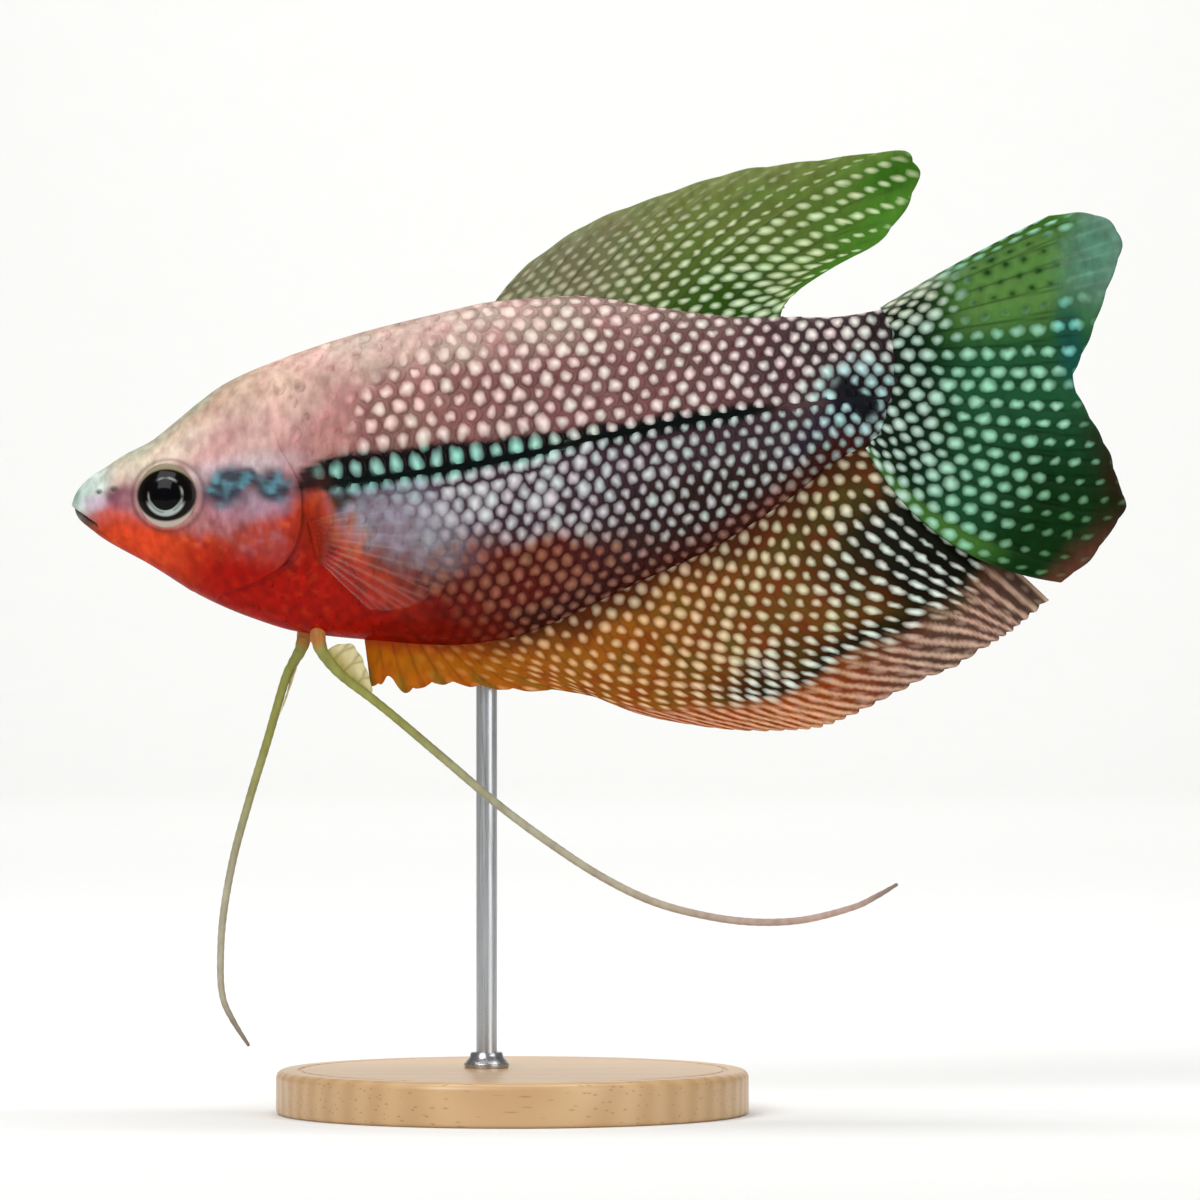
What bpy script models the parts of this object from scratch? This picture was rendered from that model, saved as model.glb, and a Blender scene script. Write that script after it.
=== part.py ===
"""A male pearl gourami at life size, held over a round base by one rod.

Metres, +Z up. The fish faces -X, its left flank faces -Y, and it swims with its nose a little down.
The lists of points below are in millimetres, and MM turns them to metres.
"""

import math

import bmesh
import bpy
from mathutils import Euler, Matrix, Vector

MM = 0.001
GAP = 0.3  # between solids that touch, in millimetres, as every size below

# The outline of the body from the side, (x, z), without its fins.
SNOUT_X = -60.3
BACK = [
    (-60.3, 69.8), (-60.1, 70.5), (-59.4, 71.7), (-58.3, 72.8), (-56.6, 73.9), (-54.3, 75.4),
    (-51.4, 76.9), (-48.6, 79.1), (-45.7, 81.5), (-42.9, 83.5), (-37.1, 86.1), (-28.6, 89.0),
    (-20.0, 91.2), (-11.4, 93.0), (-2.6, 93.6), (6.4, 92.3), (16.5, 91.2), (25.7, 91.1), (33.5, 92.2),
]
BELLY = [
    (-60.3, 69.4), (-60.1, 68.8), (-59.4, 67.8), (-58.3, 66.7), (-56.6, 65.4), (-51.4, 62.5),
    (-45.7, 59.0), (-40.0, 56.5), (-34.3, 54.8), (-27.4, 54.0), (-17.1, 53.3), (-10.3, 54.1),
    (-4.6, 56.2), (3.9, 60.2), (12.8, 64.3), (21.7, 70.0), (28.1, 74.9), (33.5, 76.8),
]
HALF_WIDTH = [
    (-60.3, 0.9), (-59.8, 1.5), (-58.8, 2.1), (-57.0, 2.7), (-54.0, 3.5), (-50.0, 4.4), (-46.0, 5.2),
    (-40.0, 6.3), (-34.0, 7.1), (-26.0, 7.6), (-16.0, 7.6), (-6.0, 7.0), (4.0, 5.9), (14.0, 4.6),
    (24.0, 3.0), (30.0, 1.8), (33.5, 1.1),
]
WIDEST_Z = [
    (-60.3, 69.6), (-50.0, 69.6), (-40.0, 70.2), (-30.0, 71.4), (-15.0, 73.6), (0.0, 76.4), (15.0, 79.0),
    (33.5, 84.2),
]
KEEL = [(-60.3, 0.85), (-50.0, 0.9), (-35.0, 1.0), (-10.0, 1.15), (15.0, 1.25), (33.5, 1.0)]

# Where the head ends, at the free edge of the gill cover, and where the tail fin begins. Both give x by the
# angle round the body.
GILL_EDGE = [
    (-90, -44.3), (-60, -43.2), (-50, -41.4), (-40, -38.6), (-30, -35.9), (-20, -34.4), (-10, -33.8),
    (0, -33.9), (10, -35.0), (20, -36.4), (40, -37.7), (60, -38.4), (90, -38.6),
]
TAIL_EDGE = [(-90, 30.7), (-40, 32.4), (0, 33.4), (50, 33.2), (90, 32.4)]
STALK_X = 21.6
GILL_GAP = 0.4
GILL_LIFT = 0.45
AROUND = 40
HEAD_RINGS, TRUNK_RINGS, STALK_RINGS = 19, 19, 6

# The eyes, nostrils and mouth.
EYE_X, EYE_Z, EYE_Y = -49.1, 70.5, 3.6
EYE_RADIUS, EYE_DEPTH = 3.9, 1.6
EYE_YAW, EYE_TILT = 12.0, 2.5
ORBIT_RADIUS, ORBIT_OUT, ORBIT_THICK, ORBIT_STEPS = 3.55, 0.72, 0.38, 24
NOSTRILS = [(-57.1, 71.0, 0.42), (-55.4, 71.3, 0.46)]
MOUTH_FRONT, MOUTH_CORNER = (-60.6, 69.2), (-57.4, 67.0)
LIP_RADIUS, MOUTH_SLOT = 0.44, 0.36

# The fins: ray counts, and the tips from the front ray to the last, (x, z).
DORSAL_RAYS, DORSAL_ROOT = 14, (-12.3, 20.6)
DORSAL_TIPS = [
    (-8.0, 97.2), (-3.6, 100.4), (0.8, 102.7), (6.0, 104.6), (11.4, 106.5), (16.8, 108.0), (22.3, 108.7),
    (28.6, 109.5), (35.0, 110.1), (36.7, 107.3), (35.0, 103.2), (31.9, 99.5), (26.6, 96.6), (21.7, 93.4),
]
ANAL_RAYS, ANAL_ROOT = 38, (-27.0, 29.3)
ANAL_TIPS = [
    (-26.2, 48.6), (-22.6, 47.8), (-18.5, 48.8), (-13.8, 48.5), (-8.7, 48.1), (-3.7, 48.1), (1.0, 47.1),
    (5.7, 45.3), (10.2, 44.4), (14.6, 43.8), (18.6, 43.6), (21.8, 43.7), (24.6, 43.9), (27.2, 44.6),
    (29.7, 45.7), (33.1, 47.4), (36.8, 49.3), (40.4, 50.7), (44.0, 52.9), (47.6, 55.2), (51.5, 58.6),
]
ANAL_DIP = 0.3
CAUDAL_RAYS = 17
CAUDAL_TIPS = [
    (51.4, 102.6), (55.1, 103.0), (58.3, 102.1), (59.8, 99.4), (58.8, 96.0), (57.4, 92.2), (56.0, 88.4),
    (54.6, 85.4), (54.1, 83.6), (55.3, 80.9), (56.9, 78.0), (58.3, 75.2), (59.2, 72.2), (60.1, 69.3),
    (58.3, 66.4), (55.9, 63.1), (52.6, 60.6),
]
PECTORAL_RAYS = 11
PECTORAL_ROOT, PECTORAL_ROOT_HEIGHT = (-32.6, 65.4), 4.2
PECTORAL_ANGLES = (16.0, -44.0)
PECTORAL_LENGTHS = [(0.0, 13.5), (0.2, 18.5), (0.4, 19.0), (0.7, 15.0), (1.0, 9.0)]
PECTORAL_FLARE = 0.36
WEB, RAY, FIN_EDGE = 0.5, 0.74, 0.3

# The two long feelers of the pelvic fins, (x, y, z), each with the diameter there.
FEELER_NEAR = [
    (-32.2, -1.6, 54.3, 1.9), (-31.6, -1.7, 52.6, 1.5), (-29.6, -2.0, 50.2, 1.25), (-26.0, -2.4, 47.4, 1.1),
    (-22.9, -2.8, 44.9, 1.05), (-17.1, -3.5, 40.0, 1.05), (-11.4, -4.2, 35.2, 1.0), (-5.7, -4.8, 31.0, 1.0),
    (0.0, -5.3, 27.3, 0.95), (5.7, -5.7, 24.5, 0.95), (11.4, -6.0, 22.9, 0.9), (17.1, -6.2, 22.1, 0.9),
    (22.9, -6.3, 22.3, 0.85), (28.6, -6.2, 23.7, 0.75), (31.4, -6.1, 25.0, 0.65), (33.8, -6.0, 26.4, 0.4),
]
FEELER_FAR = [
    (-33.8, 1.6, 54.5, 1.9), (-34.3, 1.7, 52.9, 1.5), (-35.2, 1.9, 51.3, 1.25), (-36.1, 2.1, 49.4, 1.1),
    (-38.1, 2.7, 42.6, 1.05), (-40.2, 3.3, 35.8, 1.0), (-42.1, 3.9, 28.9, 0.95), (-43.3, 4.4, 22.1, 0.9),
    (-43.6, 4.6, 16.3, 0.85), (-43.3, 4.6, 12.9, 0.8), (-42.2, 4.5, 10.4, 0.7), (-40.3, 4.4, 7.4, 0.4),
]
FEELER_SIDES, FEELER_STEP = 8, 1.9
FEELER_LENGTHS = ("root", "middle", "tip")
PELVIC_WEB_ROOT = (0.07, 0.2)
PELVIC_WEB_NEAR = [(-29.9, 53.6), (-28.2, 53.6), (-27.1, 52.1), (-26.4, 50.3), (-25.9, 48.4)]
PELVIC_WEB_FAR = [(-34.6, 51.8), (-35.1, 50.2), (-35.6, 48.6), (-36.2, 46.9), (-36.9, 45.0)]

# The stand.
BASE_X, BASE_RADIUS, BASE_HEIGHT = -10.0, 27.0, 5.0
BASE_BEVEL, BASE_SIDES = 0.9, 56
ROD_X, ROD_Y, ROD_RADIUS, ROD_SIDES = -13.0, 3.1, 1.2, 16
ROD_TOP, ROD_FOOT = 63.0, 1.5
FERRULE_RADIUS, FERRULE_HEIGHT, FERRULE_SIDES = 2.6, 1.8, 24
CUT_PAST = 4.0  # how far the stand's cutters run past what they cut

COLOURS = {
    "head": "#C98A6E", "trunk": "#9B6A5C", "tail": "#8C6A5E", "eye": "#1B1416", "dorsal": "#6C8A3A",
    "anal": "#A5682C", "caudal": "#2F6B45", "pectoral": "#D9CDB8", "feeler": "#A9A27E",
    "beech": "#C9A678", "steel": "#B9BBBD",
}


def smooth_curve(points):
    """A smooth function through (at, value) pairs that never swings past them."""
    at = [p[0] for p in points]
    value = [p[1] for p in points]
    slope = [(value[i + 1] - value[i]) / (at[i + 1] - at[i]) for i in range(len(at) - 1)]
    tangent = [slope[0]]
    for before, after in zip(slope, slope[1:]):
        tangent.append(0.0 if before * after <= 0 else 2 * before * after / (before + after))
    tangent.append(slope[-1])

    def curve(x):
        x = min(max(x, at[0]), at[-1])
        i = next(i for i in range(len(slope)) if x <= at[i + 1])
        span = at[i + 1] - at[i]
        s = (x - at[i]) / span
        rise = value[i] + (value[i + 1] - value[i]) * s * s * (3 - 2 * s)
        return rise + span * (tangent[i] * s * (1 - s) ** 2 - tangent[i + 1] * s * s * (1 - s))

    return curve


def smooth_path(points, t):
    """The place at share t, from 0 to 1, of a smooth path through points of any dimension."""
    at = t * (len(points) - 1)
    i = min(int(at), len(points) - 2)
    s = at - i
    a, b = points[i], points[i + 1]
    before = points[i - 1] if i else [2 * p - q for p, q in zip(a, b)]
    after = points[i + 2] if i + 2 < len(points) else [2 * q - p for p, q in zip(a, b)]
    return [
        q + 0.5 * s * (r - p + s * (2 * p - 5 * q + 4 * r - v + s * (3 * (q - r) + v - p)))
        for p, q, r, v in zip(before, a, b, after)
    ]


back, belly, half_width, widest_z, keel = map(smooth_curve, (BACK, BELLY, HALF_WIDTH, WIDEST_Z, KEEL))
gill_edge, tail_edge, pectoral_length = map(smooth_curve, (GILL_EDGE, TAIL_EDGE, PECTORAL_LENGTHS))


def ease(low, high, value):
    """0 below low, 1 above high, and smooth between them."""
    s = min(max((value - low) / (high - low), 0.0), 1.0)
    return s * s * (3 - 2 * s)


def flank(x, angle):
    """(y, z) of the body's surface at x, where angle runs from -90 at the belly to 90 at the back."""
    middle = widest_z(x)
    height = back(x) - middle if angle > 0 else middle - belly(x)
    turn = math.radians(angle)
    return half_width(x) * max(math.cos(turn), 0.0) ** keel(x), middle + height * math.sin(turn)


def half_width_at(x, z):
    """How far the flank lies from the middle at (x, z)."""
    middle = widest_z(x)
    height = back(x) - middle if z > middle else middle - belly(x)
    share = min(abs(z - middle) / height, 1.0)
    return half_width(x) * (1 - share * share) ** (keel(x) / 2)


def ring(x_at, lift_at=lambda angle: 0.0):
    """One closed ring of points round the body, from the belly up the right flank and down the left one."""
    points = []
    for k in range(AROUND):
        turn = 360 * k / AROUND - 90
        side = 1 if turn <= 90 else -1
        angle = turn if turn <= 90 else 180 - turn
        x = x_at(angle)
        y, z = flank(x, angle)
        lift = lift_at(angle)
        outward = math.radians(angle)
        points.append((x, side * (y + lift * math.cos(outward)), z + 0.4 * lift * math.sin(outward)))
    return points


def material(slot):
    """The node's own surface colour, from an sRGB hex value."""
    made = bpy.data.materials.get(slot) or bpy.data.materials.new(slot)
    made.use_nodes = True
    code = COLOURS[slot].lstrip("#")
    shares = [int(code[i : i + 2], 16) / 255 for i in (0, 2, 4)]
    linear = [s / 12.92 if s <= 0.04045 else ((s + 0.055) / 1.055) ** 2.4 for s in shares]
    shader = made.node_tree.nodes["Principled BSDF"]
    shader.inputs["Base Color"].default_value = (*linear, 1)
    shader.inputs["Roughness"].default_value = 0.3 if slot in ("eye", "steel") else 0.45
    shader.inputs["Metallic"].default_value = 1.0 if slot == "steel" else 0.0
    return made


def add_object(name, slot, points, faces):
    """A mesh object from points in millimetres, with its faces turned outwards and shaded smooth."""
    mesh = bpy.data.meshes.new(name)
    mesh.from_pydata([Vector(p) * MM for p in points], [], faces)
    tidy = bmesh.new()
    tidy.from_mesh(mesh)
    bmesh.ops.recalc_face_normals(tidy, faces=tidy.faces)
    tidy.to_mesh(mesh)
    tidy.free()
    mesh.shade_smooth()
    mesh.set_sharp_from_angle(angle=math.radians(40))
    mesh.materials.append(material(slot))
    made = bpy.data.objects.new(name, mesh)
    bpy.context.scene.collection.objects.link(made)
    return made


def loft(name, slot, rings):
    """A closed body through rings of points, with each end closed by strips that run from side to side."""
    count = len(rings[0])
    points = [p for r in rings for p in r]
    faces = []
    for i in range(len(rings) - 1):
        for k in range(count):
            after = (k + 1) % count
            faces.append((i * count + k, i * count + after, (i + 1) * count + after, (i + 1) * count + k))
    for start in (0, (len(rings) - 1) * count):
        for k in range(count // 2):
            strip = [start + k, start + k + 1, start + count - k - 1, start + (count - k) % count]
            faces.append(tuple(dict.fromkeys(strip)))
    return add_object(name, slot, points, faces)


def tube(name, slot, centres, radii, sides):
    """A closed round tube of changing radius along centres."""
    along = [(Vector(b) - Vector(a)).normalized() for a, b in zip(centres, centres[1:])]
    points = []
    across = along[0].orthogonal().normalized()
    for i, centre in enumerate(centres):
        ahead = along[min(i, len(along) - 1)] + along[max(i - 1, 0)]
        across = (across - across.project(ahead)).normalized()
        up = ahead.cross(across).normalized()
        for k in range(sides):
            turn = 2 * math.pi * k / sides
            points.append(Vector(centre) + radii[i] * (math.cos(turn) * across + math.sin(turn) * up))
    faces = [tuple(range(sides)), tuple(range((len(centres) - 1) * sides, len(centres) * sides))]
    for i in range(len(centres) - 1):
        for k in range(sides):
            after = (k + 1) % sides
            faces.append((i * sides + k, i * sides + after, (i + 1) * sides + after, (i + 1) * sides + k))
    return add_object(name, slot, points, faces)


def combine(target, others, operation, solver="EXACT"):
    """Joins closed meshes to target, or cuts them from it, in one Boolean, and removes them."""
    pieces = bpy.data.collections.new("pieces")
    for other in others:
        pieces.objects.link(other)
    step = target.modifiers.new("combine", "BOOLEAN")
    step.operation = operation
    step.solver = solver
    step.operand_type = "COLLECTION"
    step.collection = pieces
    graph = bpy.context.evaluated_depsgraph_get()
    made = bpy.data.meshes.new_from_object(target.evaluated_get(graph))
    target.modifiers.clear()
    target.data = made
    for other in others:
        bpy.data.objects.remove(other)
    bpy.data.collections.remove(pieces)
    made.shade_smooth()
    made.set_sharp_from_angle(angle=math.radians(40))
    return target


def ellipsoid(name, slot, place, radii, turn, segments=22, rings=12):
    """A closed round body, flattened along its own Y, at a place in millimetres."""
    shape = bmesh.new()
    bmesh.ops.create_uvsphere(shape, u_segments=segments, v_segments=rings, radius=1.0)
    quarter = Matrix.Rotation(math.radians(90), 4, "X")
    size = Matrix.Diagonal((radii[0], radii[1], radii[2], 1.0))
    bmesh.ops.transform(shape, matrix=turn.to_matrix().to_4x4() @ size @ quarter, verts=shape.verts)
    points = [v.co + Vector(place) for v in shape.verts]
    faces = [[v.index for v in f.verts] for f in shape.faces]
    shape.free()
    return add_object(name, slot, points, faces)


def eye_turn(side):
    """The eye looks outwards, a little ahead and up."""
    return Euler((math.radians(side * EYE_TILT), 0, math.radians(side * EYE_YAW)))


def orbit_rim(side):
    """The raised ring of thin bones and skin that an eye sits in."""
    turn = eye_turn(side).to_matrix()
    centre = Vector((EYE_X, side * EYE_Y, EYE_Z))
    rim = []
    for k in range(ORBIT_STEPS):
        a = 2 * math.pi * k / ORBIT_STEPS
        across, up = ORBIT_RADIUS * math.cos(a), ORBIT_RADIUS * math.sin(a)
        rim.append(centre + turn @ Vector((across, side * ORBIT_OUT, up)))
    points, faces = [], []
    sides = 6
    for k in range(ORBIT_STEPS):
        after = (k + 1) % ORBIT_STEPS
        outward = (rim[k] - centre - turn @ Vector((0, side * ORBIT_OUT, 0))).normalized()
        axis = turn @ Vector((0, side, 0))
        for j in range(sides):
            a = 2 * math.pi * j / sides
            points.append(rim[k] + ORBIT_THICK * (math.cos(a) * outward + math.sin(a) * axis))
            faces.append(
                (k * sides + j, k * sides + (j + 1) % sides,
                 after * sides + (j + 1) % sides, after * sides + j)
            )
    return add_object("rim", "head", points, faces)


def mouth_line(across, drop):
    """A place along the lips: across runs from -90 to 90 degrees round the snout, drop is below the slot."""
    turn = math.radians(across)
    start = MOUTH_FRONT[0] + 0.75
    x = start + (MOUTH_CORNER[0] - start) * (1 - math.cos(turn) * 0.97)
    fall = (MOUTH_CORNER[1] - MOUTH_FRONT[1]) / (MOUTH_CORNER[0] - MOUTH_FRONT[0])
    z = MOUTH_FRONT[1] + fall * (x - MOUTH_FRONT[0])
    y = half_width_at(x, z) * math.sqrt(abs(math.sin(turn)))
    return Vector((x, math.copysign(y, turn), z - drop))


def lip(drop):
    """One lip, a soft ridge from one corner of the mouth round the snout to the other."""
    centres = [mouth_line(a, drop) for a in range(-90, 91, 15)]
    radii = [LIP_RADIUS * (0.55 + 0.45 * math.cos(math.radians(a))) for a in range(-90, 91, 15)]
    return tube("lip", "head", centres, radii, 8)


def mouth_slot():
    """The cutter that parts the lips, a thin wedge from side to side."""
    front, corner = Vector((MOUTH_FRONT[0], 0, MOUTH_FRONT[1])), Vector((MOUTH_CORNER[0], 0, MOUTH_CORNER[1]))
    along = (corner - front).normalized()
    up = Vector((-along.z, 0, along.x)) * MOUTH_SLOT / 2
    start = front - along
    section = [start - up, start + up, corner + up * 0.7, corner + along * 0.3, corner - up * 0.7]
    points = [p + Vector((0, y, 0)) for y in (-4, 4) for p in section]
    n = len(section)
    faces = [tuple(range(n)), tuple(range(n, 2 * n))]
    faces += [(k, (k + 1) % n, (k + 1) % n + n, k + n) for k in range(n)]
    return add_object("slot", "head", points, faces)


def nostril(x, z, radius, side, cutter):
    """A nostril's short raised tube, or the cutter that hollows it."""
    y = half_width_at(x, z)
    inner = Vector((x, side * (y - 1.0), z))
    outer = Vector((x - 0.12, side * (y + 0.22), z + 0.06))
    if cutter:
        ends = [inner + (outer - inner) * 0.45, outer + (outer - inner)]
        return tube("hole", "head", ends, [radius * 0.5] * 2, 8)
    return tube("nostril", "head", [inner, outer], [radius * 1.25, radius * 0.9], 10)


def build_head():
    """The head back to the free edge of its gill covers, which stand a little proud of the trunk."""
    rings = []
    for i in range(HEAD_RINGS + 1):
        share = (i / HEAD_RINGS) ** 1.45
        ramp = ease(0.55, 0.93, share) * (1 - 0.45 * ease(0.97, 1.0, share))
        rings.append(
            ring(
                lambda angle: SNOUT_X + (gill_edge(angle) - SNOUT_X) * share,
                lambda angle: GILL_LIFT * ramp * ease(-85, -45, angle) * (1 - ease(12, 34, angle)),
            )
        )
    head = loft("head", "head", rings)
    added = [lip(-0.36), lip(0.40)]
    cut = [mouth_slot()]
    for side in (-1, 1):
        added.append(orbit_rim(side))
        place = (EYE_X, side * EYE_Y, EYE_Z)
        radii = (EYE_RADIUS + GAP, EYE_DEPTH + GAP, EYE_RADIUS + GAP)
        cut.append(ellipsoid("socket", "head", place, radii, eye_turn(side)))
        for x, z, radius in NOSTRILS:
            added.append(nostril(x, z, radius, side, cutter=False))
            cut.append(nostril(x, z, radius, side, cutter=True))
    combine(head, added, "UNION")
    combine(head, cut, "DIFFERENCE")


def build_eyes():
    """The two eyeballs, each a shallow lens in its socket."""
    for side, word in ((-1, "left"), (1, "right")):
        radii = (EYE_RADIUS, EYE_DEPTH, EYE_RADIUS)
        ellipsoid(f"eye_{word}", "eye", (EYE_X, side * EYE_Y, EYE_Z), radii, eye_turn(side), 20, 12)


def build_trunk():
    """The trunk from the gill edge to the tail stalk, with the socket that the rod goes up into."""
    rings = []
    for i in range(TRUNK_RINGS + 1):
        share = i / TRUNK_RINGS
        dip = -0.15 * (1 - ease(0.0, 0.06, share))

        def x_at(angle):
            start = gill_edge(angle) + GILL_GAP
            return start + (STALK_X - start) * share

        rings.append(ring(x_at, lambda angle: dip))
    trunk = loft("trunk", "trunk", rings)
    socket = tube(
        "socket", "trunk",
        [(ROD_X, ROD_Y, BASE_HEIGHT), (ROD_X, ROD_Y, ROD_TOP + GAP)], [ROD_RADIUS + GAP] * 2, ROD_SIDES,
    )
    combine(trunk, [socket], "DIFFERENCE")


def build_stalk():
    """The tail stalk, from the trunk to the edge that the tail fin's rays spring from."""
    rings = []
    for i in range(STALK_RINGS + 1):
        share = i / STALK_RINGS
        start = STALK_X + GAP
        rings.append(ring(lambda angle: start + (tail_edge(angle) - start) * share))
    loft("tail_stalk", "tail", rings)


def fin_sheet(name, slot, place, rays, rows, root_thick, notch=lambda t: 0.02):
    """A fin as one closed sheet: place(t, s) is its middle, t along the root and s out to the edge.

    Each ray is a ridge on both faces, and the web between two rays is thinner and ends a little shorter,
    by the share of its length that notch(t) gives.
    """
    columns = 2 * rays - 1
    grid = []
    for c in range(columns):
        t = c / (columns - 1)
        reach = 1.0 if c % 2 == 0 else 1.0 - notch(t)
        grid.append([Vector(place(t, reach * (r / rows) ** 1.15)) for r in range(rows + 1)])
    points = []
    for c in range(columns):
        for r in range(rows + 1):
            along = grid[c][min(r + 1, rows)] - grid[c][max(r - 1, 0)]
            across = grid[min(c + 1, columns - 1)][r] - grid[max(c - 1, 0)][r]
            normal = across.cross(along).normalized()
            s = r / rows
            body = RAY if c % 2 == 0 else WEB
            thick = body + (FIN_EDGE - body) * ease(0.8, 1.0, s)
            thick += (root_thick - thick) * (1 - ease(0.0, 0.3, s))
            points.append(grid[c][r] + normal * thick / 2)
            points.append(grid[c][r] - normal * thick / 2)

    def at(c, r, face):
        return 2 * (c * (rows + 1) + r) + face

    faces = []
    for face in (0, 1):
        for c in range(columns - 1):
            for r in range(rows):
                a, b = at(c, r, face), at(c + 1, r, face)
                d, e = at(c, r + 1, face), at(c + 1, r + 1, face)
                faces += [(a, b, e), (a, e, d)] if c % 2 else [(a, b, d), (b, e, d)]
    edge = [(c, 0) for c in range(columns)] + [(columns - 1, r) for r in range(1, rows + 1)]
    edge += [(c, rows) for c in range(columns - 2, -1, -1)] + [(0, r) for r in range(rows - 1, 0, -1)]
    for (c, r), (d, q) in zip(edge, edge[1:] + edge[:1]):
        faces += [(at(c, r, 0), at(d, q, 0), at(d, q, 1)), (at(c, r, 0), at(d, q, 1), at(c, r, 1))]
    return add_object(name, slot, points, faces)


def bent_ray(root, tip, bow, s):
    """The place at share s of a ray that bows to its left by a share of its length."""
    x = root[0] + (tip[0] - root[0]) * s
    z = root[1] + (tip[1] - root[1]) * s
    side = 4 * bow * s * (1 - s)
    return x - side * (tip[1] - root[1]), z + side * (tip[0] - root[0])


def outside(profile, x, gap):
    """A point gap away from a profile of the body, square to it. A negative gap lies below."""
    slope = (profile(x + 0.2) - profile(x - 0.2)) / 0.4
    long = math.hypot(1, slope)
    return x - gap * slope / long, profile(x) + gap / long


def build_dorsal():
    """The tall fin on the back, whose last rays trail far behind its root."""

    def place(t, s):
        root = outside(back, DORSAL_ROOT[0] + (DORSAL_ROOT[1] - DORSAL_ROOT[0]) * t, GAP)
        x, z = bent_ray(root, smooth_path(DORSAL_TIPS, t), 0.03 + 0.05 * t, s)
        return x, 1.1 * s * s * math.sin(2.6 * t + 0.4), z

    fin_sheet("dorsal_fin", "dorsal", place, DORSAL_RAYS, 9, 1.3)


def build_anal():
    """The long fin below, whose last rays pass on the far side of the tail fin."""

    def place(t, s):
        root = outside(belly, ANAL_ROOT[0] + (ANAL_ROOT[1] - ANAL_ROOT[0]) * t, -GAP)
        bow = -0.11 * ease(0.1, 0.4, t) * (1 - 0.95 * ease(0.8, 1.0, t))
        reach = s * (1 - ANAL_DIP * math.exp(-(((t - 0.033) / 0.012) ** 2)))
        x, z = bent_ray(root, smooth_path(ANAL_TIPS, t), bow, reach)
        return x, 2.4 * ease(0.45, 1.0, t) * ease(0.0, 0.6, s) + 0.35 * s * math.sin(9 * t), z

    def notch(t):
        return 0.015 + 0.07 * (1 - ease(0.1, 0.35, t))

    fin_sheet("anal_fin", "anal", place, ANAL_RAYS, 8, 1.2, notch)


def build_caudal():
    """The tail fin, shallowly forked, with its lower lobe on the near side of the anal fin."""

    def place(t, s):
        angle = 86 - 172 * t
        x_root = tail_edge(angle) + GAP
        root = x_root, flank(x_root - GAP, angle)[1]
        x, z = bent_ray(root, smooth_path(CAUDAL_TIPS, t), 0.012 - 0.14 * t * t, s)
        return x, (0.9 - 3.1 * ease(0.1, 0.95, t)) * s ** 1.2, z

    fin_sheet("caudal_fin", "caudal", place, CAUDAL_RAYS, 10, 1.5, lambda t: 0.015)


def build_pectorals():
    """The two clear fins behind the gill covers, each spread back and a little out from the flank."""
    for side, word in ((-1, "left"), (1, "right")):

        def place(t, s):
            x_root = PECTORAL_ROOT[0] - 0.5 + t
            z_root = PECTORAL_ROOT[1] + PECTORAL_ROOT_HEIGHT * (0.5 - t)
            angle = math.radians(PECTORAL_ANGLES[0] + (PECTORAL_ANGLES[1] - PECTORAL_ANGLES[0]) * t)
            reach = pectoral_length(t) * s
            out = PECTORAL_FLARE * reach + 0.8 * (1 - math.exp(-reach / 0.7))
            y = half_width_at(x_root, z_root) + GAP + 0.3 + out
            return x_root + 0.93 * reach * math.cos(angle), side * y, z_root + 0.93 * reach * math.sin(angle)

        fin_sheet(f"pectoral_fin_{word}", "pectoral", place, PECTORAL_RAYS, 7, 0.8)


def feeler_span(points, low, high):
    """Centres and radii of a feeler between two shares of its length."""
    length = sum((Vector(a[:3]) - Vector(b[:3])).length for a, b in zip(points, points[1:]))
    count = max(3, round(length * (high - low) / FEELER_STEP))
    found = [smooth_path(points, low + (high - low) * k / count) for k in range(count + 1)]
    return [p[:3] for p in found], [p[3] / 2 for p in found], length


def build_feelers():
    """Each pelvic fin: a root, a middle and a tip length of its feeler, with a small web behind the root."""
    near = (FEELER_NEAR, PELVIC_WEB_NEAR, "left")
    far = (FEELER_FAR, PELVIC_WEB_FAR, "right")
    for points, tips, word in (near, far):
        length = feeler_span(points, 0, 1)[2]
        rest = GAP / length
        for i, part in enumerate(FEELER_LENGTHS):
            low = i / 3 + (rest / 2 if i else 0)
            high = (i + 1) / 3 - (rest / 2 if i < 2 else 0)
            centres, radii, _ = feeler_span(points, low, high)
            made = tube(f"pelvic_fin_{word}_{part}", "feeler", centres, radii, FEELER_SIDES)
            if i == 0:
                combine(made, [pelvic_web(points, tips)], "UNION", "MANIFOLD")


def pelvic_web(points, tips):
    """The short rays behind a feeler's root, joined by a small web."""

    def place(t, s):
        low, high = PELVIC_WEB_ROOT
        root = smooth_path(points, low + (high - low) * t)
        x, z = bent_ray((root[0], root[2]), smooth_path(tips, t), 0.05, s)
        return x, root[1], z

    return fin_sheet("web", "feeler", place, 5, 4, 0.6)


def turned(name, slot, profile, x, y, sides):
    """A round solid from a profile of (radius, z), about a vertical axis at (x, y)."""
    points, faces = [], []
    for i, (radius, z) in enumerate(profile):
        for k in range(sides):
            turn = 2 * math.pi * k / sides
            points.append((x + radius * math.cos(turn), y + radius * math.sin(turn), z))
            if i:
                after = (k + 1) % sides
                low, high = (i - 1) * sides, i * sides
                faces.append((low + k, low + after, high + after, high + k))
    faces += [tuple(range(sides)), tuple(range((len(profile) - 1) * sides, len(profile) * sides))]
    return add_object(name, slot, points, faces)


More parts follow.
